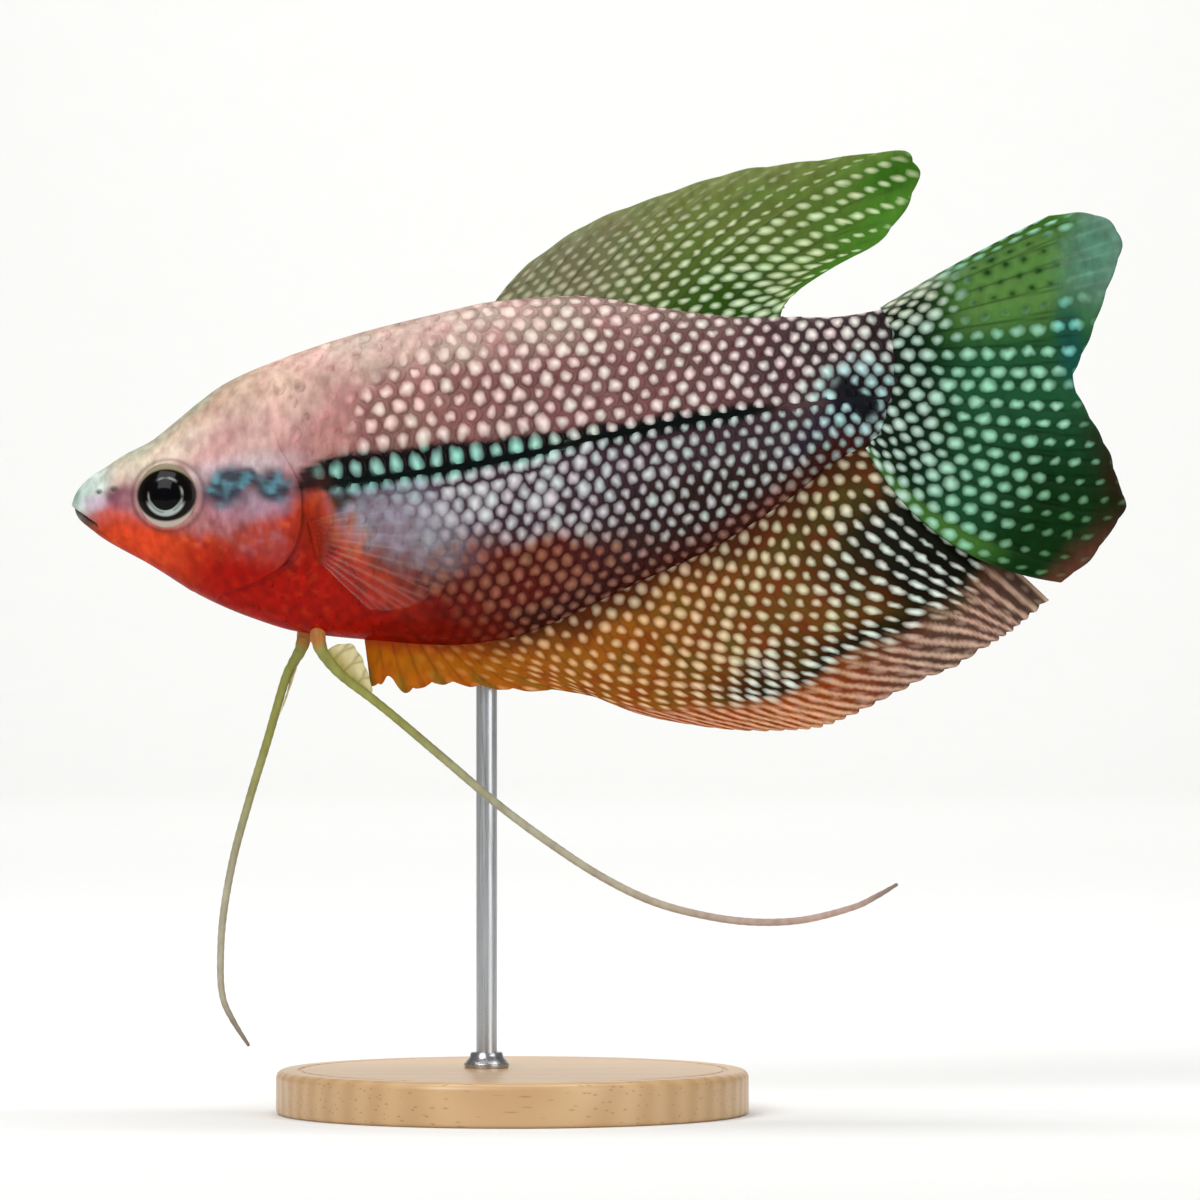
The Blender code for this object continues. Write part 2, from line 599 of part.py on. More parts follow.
def build_stand():
    """A turned base, a rod that goes up into the belly beside the anal fin, and the collar at its foot."""
    rim = [(BASE_RADIUS - 0.5, 0), (BASE_RADIUS, 0.5)]
    for k in range(4):
        turn = math.radians(30 * k)
        inward, down = BASE_BEVEL * (1 - math.cos(turn)), BASE_BEVEL * (1 - math.sin(turn))
        rim.append((BASE_RADIUS - inward, BASE_HEIGHT - down))
    base = turned("stand_base", "beech", rim, BASE_X, 0, BASE_SIDES)
    foot, inner = BASE_HEIGHT + GAP, ROD_RADIUS + GAP
    cut = [(inner, ROD_FOOT - GAP), (inner, BASE_HEIGHT + CUT_PAST)]
    hole = turned("hole", "beech", cut, ROD_X, ROD_Y, ROD_SIDES)
    combine(base, [hole], "DIFFERENCE")
    turned("stand_rod", "steel", [(ROD_RADIUS, ROD_FOOT), (ROD_RADIUS, ROD_TOP)], ROD_X, ROD_Y, ROD_SIDES)
    narrow = FERRULE_RADIUS * 0.72
    collar = [(FERRULE_RADIUS, foot), (FERRULE_RADIUS, foot + 0.5), (narrow, foot + FERRULE_HEIGHT)]
    ferrule = turned("stand_ferrule", "steel", collar, ROD_X, ROD_Y, FERRULE_SIDES)
    cut = [(inner, BASE_HEIGHT), (inner, foot + FERRULE_HEIGHT + CUT_PAST)]
    bore = turned("bore", "steel", cut, ROD_X, ROD_Y, ROD_SIDES)
    combine(ferrule, [bore], "DIFFERENCE")


def main():
    for leftover in list(bpy.data.objects):
        bpy.data.objects.remove(leftover)
    build_head()
    build_eyes()
    build_trunk()
    build_stalk()
    build_dorsal()
    build_anal()
    build_caudal()
    build_pectorals()
    build_feelers()
    build_stand()


main()
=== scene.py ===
# %% [markdown]
# # A pearl gourami on a display stand
#
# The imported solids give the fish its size, pose and parts. This notebook dresses them: one skin with a real
# mouth, gill cover and eye sockets, a coat of overlapping scales, five kinds of fin with raised rays,
# glossy eyes, two long feelers, and the turned stand. Shapes are worked out in millimetres, and make_piece
# turns them into metres.

# %% Open the frame
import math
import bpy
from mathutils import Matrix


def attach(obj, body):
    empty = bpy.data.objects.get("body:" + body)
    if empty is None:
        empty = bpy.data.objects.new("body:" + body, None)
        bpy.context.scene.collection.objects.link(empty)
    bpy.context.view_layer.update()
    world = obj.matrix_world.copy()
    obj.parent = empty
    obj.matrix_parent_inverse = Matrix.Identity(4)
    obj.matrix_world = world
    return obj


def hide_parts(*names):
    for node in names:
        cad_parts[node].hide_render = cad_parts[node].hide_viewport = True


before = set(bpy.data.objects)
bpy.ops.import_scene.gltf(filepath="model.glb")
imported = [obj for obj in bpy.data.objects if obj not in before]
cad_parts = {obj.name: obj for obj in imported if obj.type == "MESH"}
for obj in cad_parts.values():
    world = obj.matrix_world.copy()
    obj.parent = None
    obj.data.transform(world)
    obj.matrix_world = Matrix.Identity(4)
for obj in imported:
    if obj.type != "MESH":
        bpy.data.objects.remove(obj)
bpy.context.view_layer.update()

# %% Bring in the tools and list the solids
from types import SimpleNamespace

import bpy
import numpy as np
from mathutils import Vector

MM = 0.001
print("nodes", sorted(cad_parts))

# %% [markdown]
# ## Colour and blending
#
# A fish's colour has no hard seams: it is a ground that changes slowly, with patches washed over it. So
# each point of a mesh gets its ground colour from a few soft washes, and the sharp part of the pattern, the
# pearls, is drawn by the material. A painted texture could do this too, but washes with names are easier to
# change.

# %% Colours and washes
def linear(code):
    """The linear colour of an sRGB hex value."""
    shares = np.array([int(code[i : i + 2], 16) for i in (1, 3, 5)]) / 255
    return np.where(shares <= 0.04045, shares / 12.92, ((shares + 0.055) / 1.055) ** 2.4)


def flat_colour(like, code):
    """One colour at every point of an array."""
    return 0 * like[..., None] + linear(code)


def wash(colours, code, share):
    """Lays a share of one colour over the colours."""
    return colours + (linear(code) - colours) * np.asarray(share)[..., None]


def glaze(colours, layers):
    """Washes several colours over the colours, one after another, each with its own share."""
    for code, share in layers:
        colours = wash(colours, code, share)
    return colours


print("mid grey in linear light", linear("#808080").round(3))

# %% Soft steps, patches and unevenness
def ease(low, high, value):
    """0 below low, 1 above high, and smooth between them."""
    share = np.clip((np.asarray(value, float) - low) / (high - low), 0, 1)
    return share * share * (3 - 2 * share)


def bell(value, width):
    """1 where the value is 0, falling off on both sides over a width."""
    return np.exp(-((value / width) ** 2))


def patch(x, z, centre, radii, tilt=0.0, soft=0.5):
    """1 inside a soft oval on the side view, 0 outside."""
    turn = math.radians(tilt)
    along = (x - centre[0]) * math.cos(turn) + (z - centre[1]) * math.sin(turn)
    across = (z - centre[1]) * math.cos(turn) - (x - centre[0]) * math.sin(turn)
    return 1 - ease(1 - soft, 1 + soft, np.hypot(along / radii[0], across / radii[1]))


def ripple(x, z, size, shift=0.0):
    """An uneven value from -1 to 1 that changes over about size millimetres."""
    a, b = x / size + shift, z / size - 1.7 * shift
    return (np.sin(2.1 * a + 1.3 * np.sin(1.7 * b)) + np.sin(2.3 * b + 1.1 * np.sin(1.9 * a + 2.0))) / 2


# %% [markdown]
# ## Curves that the body is built on
#
# The body is a stack of sections. A few points give the back, the belly, the width and how sharp the keel
# is, and a curve that never swings past its points joins them. They are the same points as the solids have,
# so the skin fits inside them.

# %% Smooth curves
def smooth_curve(points):
    """A smooth function through (at, value) pairs that never swings past them."""
    at, value = np.array(points, float).T
    slope = np.diff(value) / np.diff(at)
    joint = slope[:-1] * slope[1:]
    safe = np.where(joint > 0, slope[:-1] + slope[1:], 1)
    tangent = np.concatenate([slope[:1], np.where(joint > 0, 2 * joint / safe, 0), slope[-1:]])

    def curve(x):
        x = np.clip(x, at[0], at[-1])
        i = np.clip(np.searchsorted(at, x) - 1, 0, len(slope) - 1)
        span = at[i + 1] - at[i]
        s = (x - at[i]) / span
        rise = value[i] + (value[i + 1] - value[i]) * s * s * (3 - 2 * s)
        return rise + span * (tangent[i] * s * (1 - s) ** 2 - tangent[i + 1] * s * s * (1 - s))

    return curve


def smooth_path(points, t):
    """Places at the shares t, from 0 to 1, of a smooth path through points of any dimension."""
    points = np.array(points, float)
    points = np.vstack([2 * points[0] - points[1], points, 2 * points[-1] - points[-2]])
    at = np.atleast_1d(t) * (len(points) - 3)
    i = np.minimum(at.astype(int), len(points) - 4)
    s = (at - i)[:, None]
    p, q, r, v = (points[i + k] for k in range(4))
    return q + 0.5 * s * (r - p + s * (2 * p - 5 * q + 4 * r - v + s * (3 * (q - r) + v - p)))


# %% [markdown]
# ### The outline
#
# The points of each curve are in millimetres at real size. They stand closer where the lips, the brow and
# the nape bend the line. Two more curves give the edge of the gill cover and the root of the tail fin, by
# the angle round the body.

# %% The body's outline, in millimetres
SNOUT_X = -60.3
BACK = [
    (-60.3, 69.8), (-60.1, 70.5), (-59.4, 71.7), (-58.3, 72.8), (-56.6, 73.9), (-54.3, 75.4),
    (-51.4, 76.9), (-48.6, 79.1), (-45.7, 81.5), (-42.9, 83.5), (-37.1, 86.1), (-28.6, 89.0),
    (-20.0, 91.2), (-11.4, 93.0), (-2.6, 93.6), (6.4, 92.3), (16.5, 91.2), (25.7, 91.1), (33.5, 92.2),
]
BELLY = [
    (-60.3, 69.4), (-60.1, 68.8), (-59.4, 67.8), (-58.3, 66.7), (-56.6, 65.4), (-51.4, 62.5),
    (-45.7, 59.0), (-40.0, 56.5), (-34.3, 54.8), (-27.4, 54.0), (-17.1, 53.3), (-10.3, 54.1),
    (-4.6, 56.2), (3.9, 60.2), (12.8, 64.3), (21.7, 70.0), (28.1, 74.9), (33.5, 76.8),
]
HALF_WIDTH = [
    (-60.3, 0.9), (-59.8, 1.5), (-58.8, 2.1), (-57.0, 2.7), (-54.0, 3.5), (-50.0, 4.4), (-46.0, 5.2),
    (-40.0, 6.3), (-34.0, 7.1), (-26.0, 7.6), (-16.0, 7.6), (-6.0, 7.0), (4.0, 5.9), (14.0, 4.6),
    (24.0, 3.0), (30.0, 1.8), (33.5, 1.1),
]
WIDEST_Z = [
    (-60.3, 69.6), (-50.0, 69.6), (-40.0, 70.2), (-30.0, 71.4), (-15.0, 73.6), (0.0, 76.4), (15.0, 79.0),
    (33.5, 84.2),
]
KEEL = [(-60.3, 0.85), (-50.0, 0.9), (-35.0, 1.0), (-10.0, 1.15), (15.0, 1.25), (33.5, 1.0)]
GILL_EDGE = [
    (-90, -44.3), (-60, -43.2), (-50, -41.4), (-40, -38.6), (-30, -35.9), (-20, -34.4), (-10, -33.8),
    (0, -33.9), (10, -35.0), (20, -36.4), (40, -37.7), (60, -38.4), (90, -38.6),
]
TAIL_EDGE = [(-90, 30.7), (-40, 32.4), (0, 33.4), (50, 33.2), (90, 32.4)]
back, belly, half_width, widest_z, keel = map(smooth_curve, (BACK, BELLY, HALF_WIDTH, WIDEST_Z, KEEL))
gill_edge, tail_edge = map(smooth_curve, (GILL_EDGE, TAIL_EDGE))
print("depth of the body amidships, mm", round(float(back(-10) - belly(-10)), 1))


# %% [markdown]
# ## Places on the flank
#
# One section of the body is a rounded shape: full at its widest height and drawn in towards the back and
# the belly, where the keel's value says how sharp it ends. So a place on the flank needs only its x and an
# angle, from -90 at the belly to 90 at the back. A mesh could be sculpted by hand, but then nothing else
# could be set on it by numbers.

# %% From x and angle to a point
def flank(x, angle, lift=0.0, side=1):
    """Points of the body's surface, moved out by the lift, on the right side (1) or the left (-1)."""
    turn = np.radians(angle)
    middle = widest_z(x)
    height = np.where(angle > 0, back(x) - middle, middle - belly(x))
    y = half_width(x) * np.maximum(np.cos(turn), 0) ** keel(x) + lift * np.cos(turn)
    z = middle + height * np.sin(turn) + lift * np.sin(turn)
    return np.stack([x + 0 * y, side * y, z], -1)


def half_width_at(x, z):
    """How far the flank lies from the middle at (x, z)."""
    middle = widest_z(x)
    height = np.where(z > middle, back(x) - middle, middle - belly(x))
    share = np.minimum(np.abs(z - middle) / height, 1)
    return half_width(x) * (1 - share * share) ** (keel(x) / 2)


print("width behind the gill cover, mm", round(2 * float(half_width_at(-26.0, widest_z(-26.0))), 1))

# %% [markdown]
# ## The lie of the scales
#
# Scales run in slanting rows, parallel to the dark stripe along the flank, and each carries one pearl. So
# the pattern needs its own map: one count runs along the stripe from the gill to the tail, and the other
# goes round the body above or below the stripe. Rows draw together towards the tail. The skin, the scales
# and the pearls all read this one map, so they agree.

# %% The stripe's line and the steps of the pattern
STRIPE_RISE = math.radians(7.6)
STRIPE_PIVOT_Z = 74.0
BELOW, ABOVE = 0, 1
PEARL_STEPS = [smooth_curve([(-62.0, 1.95), (0.0, 1.9), (45.0, 1.8)]),
               smooth_curve([(-62.0, 2.3), (-20.0, 2.3), (5.0, 2.15), (45.0, 1.9)])]
ROW_STEPS = [smooth_curve([(-62.0, 1.68), (0.0, 1.56), (35.0, 1.4)]),
             smooth_curve([(-62.0, 1.98), (-22.0, 1.92), (0.0, 1.62), (20.0, 1.5), (35.0, 1.4)])]
WIDER_BESIDE_STRIPE = 0.5
stripe_z = smooth_curve([
    (-60.0, 70.8), (-35.0, 72.7), (-30.9, 73.1), (-13.7, 75.3), (3.4, 78.6), (12.0, 80.1), (31.0, 82.2),
    (40.0, 82.4),
])
ALONG = np.linspace(-62, 50, 900)
pearl_counts = [np.concatenate([[0], np.cumsum(np.diff(ALONG) / step(ALONG[1:]))]) for step in PEARL_STEPS]
print("pearls in a row below and above the stripe",
      [round(float(np.interp(33, ALONG, c) - np.interp(-33, ALONG, c))) for c in pearl_counts])

# %% Tables of the way round the body
MAP_X, MAP_ANGLE = np.linspace(-60.3, 35.5, 430), np.linspace(-90, 90, 241)
MAP_SHARES = np.linspace(0, 1, 301)
map_points = flank(MAP_X[:, None], MAP_ANGLE[None, :])
steps_round = np.linalg.norm(np.diff(map_points, axis=1), axis=2)
way_round = np.concatenate([np.zeros((len(MAP_X), 1)), np.cumsum(steps_round, axis=1)], axis=1)
way_whole = way_round[:, -1]
way_stripe = np.array([
    np.interp(stripe_z(x), map_points[i, :, 2], way_round[i]) for i, x in enumerate(MAP_X)
])
angle_table = np.array([np.interp(MAP_SHARES * way[-1], way, MAP_ANGLE) for way in way_round])
print("way round one flank amidships, mm", round(float(np.interp(-10, MAP_X, way_whole)), 1))


def table_value(table, x, across, across_top):
    """Reads a table at x and at a place across it, between its entries."""
    i = np.clip((x - MAP_X[0]) / (MAP_X[-1] - MAP_X[0]) * (len(MAP_X) - 1), 0, len(MAP_X) - 1.001)
    j = np.clip(across / across_top * (table.shape[1] - 1), 0, table.shape[1] - 1.001)
    a, b = i.astype(int), j.astype(int)
    u, v = i - a, j - b
    low = table[a, b] * (1 - v) + table[a, b + 1] * v
    high = table[a + 1, b] * (1 - v) + table[a + 1, b + 1] * v
    return low * (1 - u) + high * u


def height_over_stripe(x, angle):
    """The way round the body from the stripe, negative below it."""
    return table_value(way_round, x, angle + 90, 180) - np.interp(x, MAP_X, way_stripe)


# %% From the flank to the pattern and back
def first_row(x, part):
    """How far from the stripe's own row the next row lies. It lies further off towards the head."""
    return ROW_STEPS[part](x) * (1 + WIDER_BESIDE_STRIPE * (1 - ease(-14, 2, x)))


def off_seam(x, h):
    """How far a place lies from the line where the pattern above the stripe meets the one below it."""
    return h + 0.5 * first_row(x, BELOW)


def lie_of(x, angle, z, part):
    """Along and across the pattern below or above the stripe, counted in pearls and in pairs of rows."""
    s = x * math.cos(STRIPE_RISE) + (z - STRIPE_PIVOT_Z) * math.sin(STRIPE_RISE)
    h = height_over_stripe(x, angle)
    near = first_row(x, part)
    beside = np.minimum(np.abs(h), near) / (2 * near)
    further = np.maximum(np.abs(h) - near, 0) / (2 * ROW_STEPS[part](x))
    return np.interp(s, ALONG, pearl_counts[part]), np.sign(h) * (beside + further)


def place_of(pearls, pairs, part):
    """The x and angle of a place in the pattern, and whether it lies on the flank at all."""
    s = np.interp(pearls, pearl_counts[part], ALONG)
    z = 0 * s + 76
    for _ in range(6):  # x depends on the height and the height on x: six rounds settle both
        x = np.clip((s - (z - STRIPE_PIVOT_Z) * math.sin(STRIPE_RISE)) / math.cos(STRIPE_RISE), -60.2, 35.4)
        beside = 2 * np.minimum(np.abs(pairs), 0.5) * first_row(x, part)
        further = 2 * np.maximum(np.abs(pairs) - 0.5, 0) * ROW_STEPS[part](x)
        way = np.sign(pairs) * (beside + further) + np.interp(x, MAP_X, way_stripe)
        whole = np.interp(x, MAP_X, way_whole)
        angle = table_value(angle_table, x, np.clip(way / whole, 0, 1), 1.0)
        z = flank(x, angle)[..., 2]
    return x, angle, (way > 0) & (way < whole)


# %% [markdown]
# ## The colours of the fish
#
# From the back down: beige, then a rosy brown flank with pale pearls, the black stripe with mint pearls, a
# lilac silver band, then red brown. The throat and breast of a grown male are orange red, freckled, with a
# frayed upper edge. The head is mint at the snout and olive beige on the brow, with blue patches behind the
# eye that carry the stripe on. Each region is a mask from 0 to 1 that the ground and the pearls share, so
# both change at the same place.

# %% Places of the eyes, nostrils and mouth
EYE_X, EYE_Z, EYE_Y = -49.1, 70.5, 3.6
EYE_RADIUS, EYE_DEPTH = 3.9, 1.6
EYE_YAW, EYE_TILT = math.radians(12.0), math.radians(2.5)
LID_RADIUS = 3.42
NOSTRILS = [(-57.1, 71.0, 0.36), (-55.4, 71.3, 0.40)]
MOUTH_FRONT, MOUTH_CORNER = np.array([-60.6, 69.2]), np.array([-57.4, 67.0])
MOUTH_LONG = np.linalg.norm(MOUTH_CORNER - MOUTH_FRONT)
MOUTH_ALONG = (MOUTH_CORNER - MOUTH_FRONT) / MOUTH_LONG
print("mouth, mm", round(float(MOUTH_LONG), 1))

# %% Where the regions of the flank begin and end
RED_TOP = smooth_curve([
    (-60.3, 66.8), (-51.4, 67.2), (-45.7, 66.4), (-38.5, 67.8), (-34.6, 70.4), (-32.0, 70.9), (-29.4, 68.4),
    (-26.0, 63.8), (-22.0, 60.6), (-17.0, 58.0), (-11.0, 55.5), (0.0, 52.0),
])
STRIPE_HALF = ([-36, -34, -31, -20, -8, 8, 17, 22], [0.7, 1.1, 1.9, 2.0, 1.5, 1.05, 0.7, 0.1])
STRIPE_DROP = ([-34, -28, -14, 2], [0.6, 0.3, 0.3, 0.7])
RUST_START = ([-25, -5, 10], [6.0, 9.0, 11.5])
# How far forward the pearls start, by the way round the body from the stripe.
PEARL_FRONT = ([-14, -7, -4, -1.5, 1.5, 3, 8, 10, 13, 16],
               [-22, -19, -23, -31, -31, -27.5, -27, -25.5, -21, -16])
TAIL_SPOT, TAIL_SPOT_TILT = (29.4, 81.9), 60


def flank_masks(x, z, h):
    """The masks of the flank's regions, at places whose way round from the stripe is h."""
    wave, fine = ripple(x, z, 3.1), ripple(x, z, 1.1, 0.7)
    rust = ease(0.0, 3.5, -h + wave - np.interp(x, *RUST_START))
    half = np.interp(x, *STRIPE_HALF)
    from_stripe = h + np.interp(x, *STRIPE_DROP) + 0.3 * wave
    stripe = 1 - ease(half - 0.35, half + 0.45, np.abs(from_stripe))
    red = 1 - ease(-2.3, 2.5, z - RED_TOP(x) + 1.0 * wave + 0.8 * fine)
    return SimpleNamespace(
        wave=wave, fine=fine,
        aft=ease(-30, 25, x),
        below=ease(0.3, 1.8, -h),
        rust=rust,
        dull=rust * (1 - ease(0, 14, x)),
        over_belly=z - belly(x),
        haze=patch(x, z, (-22.0, 67.4), (8.0, 4.4), -22, 0.5),
        from_stripe=from_stripe,
        stripe=stripe * ease(-35.6, -34.0, x + 0.6 * fine) * (1 - ease(17, 23, x)),
        end=ease(27, 32.5, x),
        spot=patch(x, z, TAIL_SPOT, (3.6, 3.4), TAIL_SPOT_TILT, 0.35),
        spot_rim=patch(x, z, TAIL_SPOT, (5.0, 4.6), TAIL_SPOT_TILT, 0.3),
        red=red * (1 - ease(-18, -4, x + wave)),
    )


# %% The flank's ground
def flank_ground(x, z, h, m):
    """Beige back, rosy brown flank, black stripe, red brown belly and the dark spot at the tail's root."""
    ground = wash(wash(flat_colour(x, "#A3766E"), "#8C635F", ease(-24, -5, x)), "#4A373A", ease(2, 26, x))
    ground = glaze(ground, [
        ("#BEA698", ease(7.5, 14.5, h + m.wave) * (1 - 0.65 * m.aft)),
        ("#43333A", m.below),
        ("#5C1407", m.rust * (1 - 0.8 * ease(-8, 12, x))),
        ("#2E1D17", ease(5.0, 9.0, -h) * ease(-8, 12, x)),
        ("#3E1409", ease(-22, -10, x) * (1 - ease(1.5, 4.5, m.over_belly + 0.4 * m.wave))),
        ("#8A8A98", 0.85 * m.haze * (0.75 + 0.25 * m.fine)),
        ("#050D0B", 0.97 * m.stripe),
        ("#241E1E", 0.8 * m.end),
        ("#04080F", 0.96 * m.spot),
    ])
    return wash(ground, "#0C1A3A", 0.5 * patch(x, z, (24.5, 77.6), (4.6, 1.3), 38, 0.6))


# %% The red breast
def red_breast(ground, x, z, m):
    """Orange red at its upper edge, deep red below, with freckles and a frayed, dark spotted rear edge."""
    deep = ease(0.2, 6.0, RED_TOP(x) - z + 0.5 * m.fine)
    red = wash(flat_colour(x, "#C03E1A"), "#960E02", deep)
    red = wash(red, "#640A02", ease(-29, -19, x + m.wave))
    freckle = ripple(x + 0.5 * z, z, 0.75, 0.9) + 0.6 * ripple(x, z + 0.3 * x, 0.5, 0.1)
    red = wash(red, "#E4682E", 0.5 * ease(0.3, 1.1, freckle) * (1 - 0.7 * deep) * (1 - ease(-34, -28, x)))
    red = wash(red, "#7C1206", 0.42 * ease(0.3, 1.1, -freckle))
    ground = ground + (red - ground) * m.red[:, None]
    frayed = ease(-0.5, 1.0, ripple(x + 0.8 * z, z - x, 1.3, 1.1) + 0.5 * ripple(x, z + x, 0.6, 0.4))
    ground = wash(ground, "#A87048", 0.6 * frayed * patch(x, z, (-29.6, 67.4), (2.6, 4.4), 34, 0.7))
    ground = wash(ground, "#8C8C98", 0.6 * (1 - frayed) * patch(x, z, (-28.4, 68.0), (1.8, 3.4), 34, 0.7))
    return wash(ground, "#101A18", 0.85 * patch(x + 0.4 * m.fine, z, (-29.4, 70.0), (1.5, 1.2), 60, 0.5))


# %% The pearls' colour and strength
def flank_pearls(x, h, m):
    """Cream pearls on the back, mint on the stripe, silver below it and dull brown over the rusty belly."""
    pearl = wash(flat_colour(x, "#F2DACF"), "#F0E4DE", m.aft)
    pearl = glaze(pearl, [
        ("#D6D6DA", m.below),
        ("#C6CECA", m.below * ease(-4, 14, x)),
        ("#96634C", m.dull),
        ("#94685A", ease(-15, -3, x) * (1 - ease(1.0, 4.0, m.over_belly))),
        ("#A2E0CE", m.stripe * (1 - 0.8 * ease(-10, 0, x))),
    ])
    near_stripe = bell(m.from_stripe, 2.6) * (1 - ease(-8, 8, x))
    pearl = glaze(pearl, [
        ("#D2ECE2", 0.6 * near_stripe * (1 - m.stripe)),
        ("#9CC4CE", 0.6 * ease(1.4, 2.4, -h) * (1 - ease(3.6, 5.0, -h)) * (1 - ease(-21, -16, x))),
        ("#CBDAD0", 0.6 * m.end),
        ("#D2FAF8", 0.9 * m.spot_rim),
        ("#9FCAC6", 0.6 * ease(20, 28, x) * (1 - ease(1, 5, h))),
    ])
    return wash(pearl, "#A8452A", m.red)


def pearl_strength(x, z, h, m):
    """How plainly the pearls show: faint on the nape, none on the head and the breast."""
    front = np.interp(h, *PEARL_FRONT)
    strength = 0.2 * ease(-31, -27, x + m.wave) + 0.8 * ease(-1.8, 1.6, x + 0.9 * m.wave - front)
    strength = np.maximum(strength, 0.9 * ease(-33.0, -31.0, x) * np.exp(-(((h + 0.6) / 1.9) ** 4)))
    strength = strength * (1 - 0.4 * ease(10, 15, h) * (1 - ease(-12, 2, x)))
    strength = strength * (1 - 0.92 * m.red) * (1 - 0.45 * m.haze)
    strength = strength * (1 - 0.45 * m.rust * (1 - ease(-22, -6, x)))
    return strength * (1 - m.spot * ease(0.1, 0.5, ripple(x, z, 2.4, 0.4)))


# %% [markdown]
# ### The head
#
# The head has no pearls. Its colour is a stack of soft ovals, like glazes laid one over another, and the
# order matters: brow, cheek, throat and snout, and last the marks round the eye and the mouth. Each oval is
# one row of a table, so it can be moved or mixed again by itself.

# %% Soft ovals of the head
# Each row: colour, share, centre, half lengths, tilt in degrees, softness and how grainy the oval is.
HEAD_PATCHES = {
    "brow": [
        ("#D0C3AE", 1.0, (-50.5, 76.0), (6.5, 3.0), 36, 0.6, 0.0),  # the pale bridge between the eyes
        ("#A98F74", 0.5, (-45.0, 81.0), (8.0, 1.3), 38, 0.6, 0.0),  # the olive edge above it
    ],
    "cheek": [
        ("#C6B6B8", 0.8, (-41.0, 73.6), (6.4, 1.5), 8, 0.6, 0.0),  # the pale line over the blue patches
        ("#A898AE", 0.7, (-39.5, 69.2), (4.2, 1.6), 4, 0.6, 0.2),  # the lilac sheen under them
        ("#B0706C", 0.5, (-46.5, 67.6), (3.4, 1.6), -10, 0.6, 0.0),  # rosy skin under the eye
        ("#9A4A44", 0.55, (-39.0, 65.6), (4.0, 2.6), -20, 0.6, 0.0),  # brick red on the gill cover
    ],
    "throat": [
        ("#CE4420", 0.9, (-51.5, 65.2), (6.8, 1.9), -33, 0.6, 0.0),  # the orange jaw
        ("#960C02", 0.8, (-40.5, 60.4), (6.5, 3.4), -22, 0.6, 0.0),  # the deep red throat
        ("#8A220A", 0.85, (-32.4, 67.0), (1.8, 3.6), 12, 0.6, 0.0),  # the shadowed red behind the gill cover
    ],
    "snout": [
        ("#C2D6CC", 0.95, (-59.2, 71.2), (3.7, 2.5), 40, 0.45, 0.0),  # the mint snout
        ("#6E8C7C", 0.6, (-60.0, 70.4), (0.8, 1.6), 0, 0.6, 0.0),  # its darker rim
        ("#C6B0C4", 0.7, (-57.5, 69.8), (1.5, 1.0), 10, 0.6, 0.0),  # lilac under the nostrils
        ("#6A3A50", 0.85, (-54.7, 70.2), (1.9, 1.4), 10, 0.5, 0.35),  # the plum smudge ahead of the eye
    ],
}
BLUE_PATCHES = [((-42.4, 71.5), (2.8, 2.0)), ((-39.9, 72.3), (1.2, 0.9)), ((-37.1, 71.7), (2.0, 1.8))]
print("ovals on the head", sum(len(rows) for rows in HEAD_PATCHES.values()) + len(BLUE_PATCHES))


def lay_patches(ground, x, z, fine, where):
    """Lays the ovals of one part of the head over the ground, in their order."""
    for colour, share, centre, radii, tilt, soft, grainy in HEAD_PATCHES[where]:
        share = share * patch(x, z, centre, radii, tilt, soft)
        ground = wash(ground, colour, share * (1 - grainy + grainy * fine))
    return ground


def cheek_blush(ground, x, z):
    """Pink and brick red streaks that run together on the cheek."""
    blush = patch(x, z, (-41.0, 66.8), (5.4, 3.0), -16, 0.7)
    streak = ripple(x + 0.7 * z, z - 0.5 * x, 1.5, 0.6) + 0.7 * ripple(x - 0.4 * z, z + 0.5 * x, 0.55, 2.3)
    ground = wash(ground, "#B47C86", 0.5 * blush * ease(-0.2, 1.3, streak))
    return wash(ground, "#86383A", 0.4 * blush * ease(-0.2, 1.3, -streak))


# %% Marks of the nostrils, the blue patches, the eye's rim and the mouth
def head_marks(ground, x, z, wave, fine):
    """The small dark and blue marks that lie over the ovals."""
    for nx, nz, radius in NOSTRILS:
        ground = wash(ground, "#42504A", 0.55 * patch(x, z, (nx, nz), (radius, 0.8 * radius), 0, 0.5))
    for centre, radii in BLUE_PATCHES:
        share = patch(x + 0.5 * fine, z + 0.35 * wave, centre, radii, 8, 0.4)
        ground = wash(ground, "#18303C", 0.92 * share)
        mottle = ripple(x + 0.6 * z, z - 0.4 * x, 0.8, 0.3) + ripple(x, z, 1.1, 1.1)
        ground = wash(ground, "#5E8E9A", 0.8 * share * ease(-0.5, 1.0, mottle))
    from_eye = np.hypot(x - EYE_X, z - EYE_Z)
    lid = bell(from_eye - 3.55, 0.26) * (0.75 + 0.25 * fine)
    ground = wash(ground, "#B8A898", 0.4 * lid * (1 - 0.5 * ease(0, 3, z - EYE_Z)))
    ground = wash(ground, "#3A2A2A", 0.5 * bell(from_eye - 4.15, 0.25))
    from_lips = (z - MOUTH_FRONT[1]) * MOUTH_ALONG[0] - (x - MOUTH_FRONT[0]) * MOUTH_ALONG[1]
    ground = wash(ground, "#141D18", 0.9 * bell(from_lips, 0.16) * (1 - ease(-57.6, -57.0, x)))
    lower_lip = ease(-1.2, -0.4, from_lips) * (1 - ease(-0.1, 0.15, from_lips)) * (1 - ease(-58.2, -56.8, x))
    return wash(ground, "#2E3A2A", 0.65 * lower_lip)


